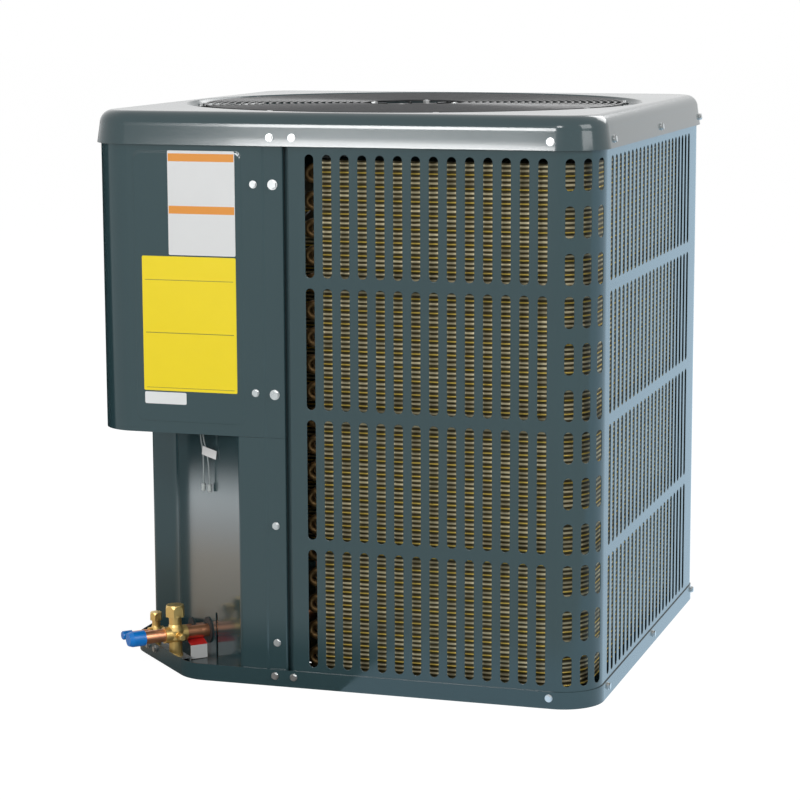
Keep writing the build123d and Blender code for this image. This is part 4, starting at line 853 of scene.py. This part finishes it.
def label_finish(name, ground, bands=(), rough=0.35):
    """Plain printed card. bands are (z low, z high, x left, x right, colour), in millimetres."""
    material, nodes, links, shader = blank_material(name)
    axes = object_axes(nodes, links)
    tone = place_group(material, mottle, colour=(*ground, 1.0), patches=30.0, spread=0.04, rough=rough,
                       rough_spread=0.1)
    colour = tone.outputs["Colour"]
    for z0, z1, x0, x1, ink in bands:
        inside = None
        for axis, low, high in (("Z", z0, z1), ("X", x0, x1)):
            over = math_node(nodes, links, "GREATER_THAN", axes[axis], low * MM)
            under = math_node(nodes, links, "LESS_THAN", axes[axis], high * MM)
            both = math_node(nodes, links, "MULTIPLY", over, under)
            inside = both if inside is None else math_node(nodes, links, "MULTIPLY", inside, both)
        colour = mix_colour(nodes, links, inside, colour, ink)
    links.new(colour, shader.inputs["Base Color"])
    links.new(tone.outputs["Rough"], shader.inputs["Roughness"])
    add_grain(material, shader, 1500.0, 0.00001)
    return material


paint = finish("slate powder coat", (0.028, 0.061, 0.069), 0.15, coat=0.12, coat_rough=0.04, patches=5.0,
               spread_by=0.10, rough_by=0.08, fineness=420.0, height=0.000006, dusty=0.03)
dull_copper = finish("lacquered return bends", (0.2, 0.12, 0.045), 0.45, metallic=0.7, patches=30.0,
                     spread_by=0.5)
wire_coat = finish("black guard coating", (0.012, 0.014, 0.016), 0.36, patches=20.0, height=0.00002)
zinc = finish("zinc plating", (0.55, 0.56, 0.56), 0.3, metallic=0.95, patches=60.0, spread_by=0.2,
              rough_by=0.2)
galvanised = finish("galvanised sheet", (0.5, 0.52, 0.53), 0.42, metallic=0.8, patches=45.0, spread_by=0.35)
black_paint = finish("black enamel", (0.012, 0.012, 0.014), 0.3, coat=0.4, patches=12.0, height=0.00004)
bright_steel = finish("turned steel", (0.6, 0.6, 0.6), 0.25, metallic=1.0, patches=80.0)
blade_metal = finish("mill aluminium", (0.62, 0.63, 0.64), 0.38, metallic=0.9, patches=14.0, spread_by=0.2,
                     dusty=0.2)
copper = finish("bare copper", (0.72, 0.33, 0.18), 0.32, metallic=0.9, patches=35.0, spread_by=0.4,
                rough_by=0.25)
brass = finish("forged brass", (0.78, 0.55, 0.2), 0.34, metallic=0.85, patches=60.0, spread_by=0.3,
               rough_by=0.2, fineness=1400.0, height=0.00006)
rubber = finish("black rubber", (0.02, 0.02, 0.02), 0.7, patches=30.0, height=0.00005, dusty=0.2)
black_plastic = finish("black moulding", (0.02, 0.02, 0.021), 0.5, patches=20.0)
drier_paint = finish("drier enamel", (0.3, 0.32, 0.33), 0.45, patches=20.0)
can_metal = finish("drawn can", (0.66, 0.67, 0.68), 0.32, metallic=0.95, patches=25.0)
blue_plastic = finish("blue moulding", (0.0, 0.2, 0.66), 0.32, patches=50.0, spread_by=0.2, fineness=1200.0)
sleeve = finish("grey lead sleeve", (0.34, 0.38, 0.38), 0.4, patches=80.0, spread_by=0.2)
nylon = finish("pale nylon", (0.5, 0.54, 0.53), 0.3, patches=90.0, coat=0.3)
fins = coil_finish()

orange = (0.80, 0.30, 0.03)
rule_ink = (0.3, 0.25, 0.02)
warning_face = label_finish("white label card", (0.76, 0.77, 0.77), [
    (low, low + 11.0, -246.0, -148.0, orange) for low in (742.0, 669.0)])
energy_face = label_finish("yellow label card", (0.95, 0.74, 0.0), [
    (low, high, -284.0, -151.0, rule_ink)
    for low, high in ((500.0, 501.2), (575.0, 576.0), (422.0, 422.8))])
code_face = label_finish("small white card", (0.82, 0.84, 0.84))
tag_face = label_finish("folded tag card", (0.86, 0.86, 0.85))
pipe_tag_face = label_finish("red and white tag card", (0.86, 0.86, 0.85), [
    (29.2, 60.0, -400.0, -200.0, (0.72, 0.03, 0.03))])


def dress(obj, material):
    obj.data.materials.clear()
    obj.data.materials.append(material)
    return obj


def coat_node(node, material):
    """A CAD node takes a material in its slots; its mesh is left alone."""
    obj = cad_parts[node]
    if not obj.material_slots:
        obj.data.materials.append(material)
    for slot in obj.material_slots:
        slot.material = material


node_finishes = {
    paint: ["base_pan", "louvre_panel_front_right", "louvre_panel_back_left", "control_cover",
            "service_corner_panel", "top_cap"],
    wire_coat: ["fan_guard"],
    zinc: ["guard_screws", "motor_studs", "compressor_studs", "cap_screws", "base_screws", "cover_screws",
           "land_screws", "post_screws", "bracket_screws"],
    galvanised: ["tube_sheet_front", "tube_sheet_left", "control_box", "capacitor_strap", "valve_bracket"],
    black_paint: ["fan_motor", "compressor_shell"],
    bright_steel: ["motor_shaft", "contactor_armature"],
    blade_metal: ["fan_blades"],
    fins: ["coil_fins"],
    dull_copper: ["coil_return_bends"],
    copper: ["discharge_line", "suction_line", "liquid_line", "suction_cap_seal",
             "suction_stub", "liquid_cap_seal", "liquid_stub"],
    rubber: ["coil_feet", "compressor_grommets", "pipe_grommets", "suction_port_gasket", "liquid_port_gasket"],
    black_plastic: ["terminal_cover", "contactor_body", "lead_bushing"],
    drier_paint: ["filter_drier"],
    can_metal: ["run_capacitor"],
    brass: ["ground_lug", "suction_valve_body", "suction_stem_cap", "suction_port_cap", "liquid_valve_body",
            "liquid_stem_cap", "liquid_port_cap"],
    blue_plastic: ["suction_plug", "liquid_plug"],
    sleeve: ["lead_a", "lead_b"],
    nylon: ["lead_caps"],
    tag_face: ["lead_tag"],
    pipe_tag_face: ["pipe_tag"],
}
for material, node_names in node_finishes.items():
    for node_name in node_names:
        coat_node(node_name, material)

# ---- new pieces
front_panel = dress(louvre_panel("louvre_sheet_front_right", False), paint)
back_panel = dress(louvre_panel("louvre_sheet_back_left", True), paint)
cover = dress(control_cover(), paint)
cap = dress(top_cap(), paint)
guard = dress(fan_guard(), wire_coat)
coil = dress(coil_skin(), fins)
for shown, node_name in (
        (front_panel, "louvre_panel_front_right"), (back_panel, "louvre_panel_back_left"),
        (cover, "control_cover"), (cap, "top_cap"), (guard, "fan_guard"), (coil, "coil_fins")):
    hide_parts(node_name)

for label, (x0, x1, z0, z1), material in (
        ("warning_label", warning_label, warning_face), ("energy_label", energy_label, energy_face),
        ("code_label", code_label, code_face)):
    dress(sticker(label, x0, x1, z0, z1, label_corner, label_proud), material)


# ---- leads
lead_diameter = 2.2
lead_routes = {
    "a": [(-240.6, -279.0, 351.6), (-239.4, -279.4, 337.0), (-236.0, -279.8, 319.0),
          (-235.2, -279.6, 295.0), (-235.9, -279.2, 269.0)],
    "b": [(-235.6, -281.0, 351.6), (-234.4, -282.4, 337.0), (-228.6, -284.4, 319.0),
          (-224.6, -285.2, 295.0), (-224.0, -285.4, 269.0)],
}


def lead(name, route):
    """A limp lead: one smooth spline with the route's points as its control points."""
    curve = bpy.data.curves.new(name, "CURVE")
    curve.dimensions = "3D"
    curve.bevel_depth = lead_diameter / 2 * MM
    curve.bevel_resolution = 3
    curve.resolution_u = 8
    curve.use_fill_caps = True
    spline = curve.splines.new("NURBS")
    spline.points.add(len(route) - 1)
    for point, place in zip(spline.points, route):
        point.co = (*(v * MM for v in place), 1.0)
    spline.order_u = 3
    spline.use_endpoint_u = True
    obj = new_object(name, curve)
    obj.data.materials.append(sleeve)
    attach(obj, "cabinet")
    return obj


lead_a = lead("lead_a_wire", lead_routes["a"])
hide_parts("lead_a")
lead_b = lead("lead_b_wire", lead_routes["b"])
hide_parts("lead_b")


# ---- stage and lighting
# The stops and tones below are painted reflections, which the floor glows with for glossy rays only; a value
# over 1 is brighter than the white room.
sweep_reach = 3.0                       # metres of floor to the left that the recess mirrors
painted_reflection_stops = [(0.0, (0.0, 0.0, 0.0)), (0.46, (0.0, 0.0, 0.0)), (0.56, (1.5, 1.6, 1.65)),
               (0.64, (1.1, 1.1, 1.1)), (0.72, (0.9, 0.78, 0.66)), (0.83, (0.6, 0.5, 0.4)),
               (0.9, (0.1, 0.09, 0.08))]
right_wall_painted_reflection = (0.85, 1.12, 1.35)        # painted reflection that the right wall mirrors
front_painted_reflection = (0.78, 0.86, 0.88)        # painted reflection that the front mirrors
front_painted_reflection_fade = (-0.75, -0.55)       # metres in Y over which the front's painted reflection gives way
floor_reach = 30000.0
floor_level = -0.5


def stage_floor():
    """A pale floor: nearly white with a faint shadow to the camera, and a glowing painted reflection pattern
    for glossy rays.
    """
    points = [(x * floor_reach, y * floor_reach, floor_level)
              for x, y in ((-1, -1), (1, -1), (1, 1), (-1, 1))]
    floor = piece("floor", points, [[0, 1, 2, 3]], body=None)
    material, nodes, links, shader = blank_material("pale floor")
    shader.inputs["Roughness"].default_value = 0.9
    shader.inputs["Specular IOR Level"].default_value = 0.0
    path = nodes.new("ShaderNodeLightPath")
    glossy, camera = path.outputs["Is Glossy Ray"], path.outputs["Is Camera Ray"]
    plain = mix_colour(nodes, links, camera, (0.82, 0.82, 0.82), (0.16, 0.16, 0.16))
    # Glossy rays see no lit floor here, only the glowing painted reflection set up below.
    links.new(mix_colour(nodes, links, glossy, plain, (0.0, 0.0, 0.0)), shader.inputs["Base Color"])
    glow = nodes.new("ShaderNodeEmission")
    axes = object_axes(nodes, links)
    sweep = nodes.new("ShaderNodeValToRGB")
    links.new(map_range(nodes, links, axes["X"], -sweep_reach, 0.0), sweep.inputs["Fac"])
    stops = sweep.color_ramp.elements
    stops[0].position, stops[0].color = painted_reflection_stops[0][0], (*painted_reflection_stops[0][1], 1.0)
    stops[1].position, stops[1].color = painted_reflection_stops[-1][0], (*painted_reflection_stops[-1][1], 1.0)
    for position, tone in painted_reflection_stops[1:-1]:
        stops.new(position).color = (*tone, 1.0)
    past_front = map_range(nodes, links, axes["Y"], *front_painted_reflection_fade)
    left = math_node(nodes, links, "LESS_THAN", axes["X"], 0.0)
    behind = mix_colour(nodes, links, left, right_wall_painted_reflection, sweep.outputs["Color"])
    mirrored = mix_colour(nodes, links, past_front, front_painted_reflection, behind)
    links.new(mix_colour(nodes, links, camera, mirrored, (1.0, 1.0, 1.0)), glow.inputs["Color"])
    seen = math_node(nodes, links, "MULTIPLY", camera, 0.95)
    # The glossy-ray strength carries the painted reflection.
    links.new(math_node(nodes, links, "ADD", seen, glossy), glow.inputs["Strength"])
    total = nodes.new("ShaderNodeAddShader")
    links.new(shader.outputs[0], total.inputs[0])
    links.new(glow.outputs[0], total.inputs[1])
    links.new(total.outputs[0], nodes["Material Output"].inputs["Surface"])
    floor.data.materials.append(material)


def white_world(ambient):
    """White to the camera, in reflections and through glass; a level ambient light elsewhere."""
    world = bpy.data.worlds.new("white room")
    bpy.context.scene.world = world
    world.use_nodes = True
    nodes, links = world.node_tree.nodes, world.node_tree.links
    background = nodes["Background"]
    path = nodes.new("ShaderNodeLightPath")
    seen = math_node(nodes, links, "MAXIMUM", path.outputs["Is Camera Ray"], path.outputs["Is Glossy Ray"])
    seen = math_node(nodes, links, "MAXIMUM", seen, path.outputs["Is Transmission Ray"])
    extra = math_node(nodes, links, "MULTIPLY", seen, 1.0 - ambient)
    links.new(math_node(nodes, links, "ADD", extra, ambient), background.inputs["Strength"])
    background.inputs["Color"].default_value = (1.0, 1.0, 1.0, 1.0)


def set_pose(obj, place, right, up, back):
    basis = Matrix([[*row] for row in np.stack([right, up, back], 1)])
    obj.matrix_world = Matrix.Translation(place) @ basis.to_4x4()


def soft_box(name, place, aim, width, height, power):
    light = bpy.data.lights.new(name, "AREA")
    light.shape = "RECTANGLE"
    light.size, light.size_y = width, height
    light.energy = power
    way = np.array(aim, float) - np.array(place, float)
    back = -way / np.linalg.norm(way)
    right = np.cross([0, 0, 1.0], back)
    right /= np.linalg.norm(right)
    set_pose(new_object(name, light), place, right, np.cross(back, right), back)


camera_place = (1.1283, -3.6529, 0.9813)
camera_degrees = (17.512, 9.248, -0.2105)   # azimuth, downward tilt and roll
camera_lens = 114.38


def make_camera():
    """A long lens in front, a little to the right of the unit and above it."""
    azimuth, elevation, roll = (math.radians(v) for v in camera_degrees)
    forward = np.array([-math.sin(azimuth) * math.cos(elevation), math.cos(azimuth) * math.cos(elevation),
                        -math.sin(elevation)])
    level = np.array([math.cos(azimuth), math.sin(azimuth), 0.0])
    upright = np.cross(level, forward)
    right = math.cos(roll) * level + math.sin(roll) * upright
    up = -math.sin(roll) * level + math.cos(roll) * upright
    camera = bpy.data.cameras.new("camera")
    camera.lens = camera_lens
    camera.sensor_width = 36.0
    camera.clip_end = 100.0
    obj = new_object("camera", camera)
    set_pose(obj, camera_place, right, up, -forward)
    bpy.context.scene.camera = obj


stage_floor()
white_world(0.3)
soft_box("key_light", (0.1, -4.2, 2.6), (0.0, 0.0, 0.45), 0.9, 0.9, 30.0)
soft_box("side_light", (3.4, -1.4, 2.2), (0.0, 0.0, 0.4), 1.8, 1.8, 45.0)
soft_box("back_light", (1.2, 3.2, 2.6), (0.0, 0.0, 0.5), 2.4, 1.6, 45.0)
soft_box("band_light", (-1.12, -4.3, 1.38), (0.0, 0.0, 0.8), 1.1, 0.5, 44.0)
make_camera()
bpy.context.scene.view_settings.view_transform = "Standard"
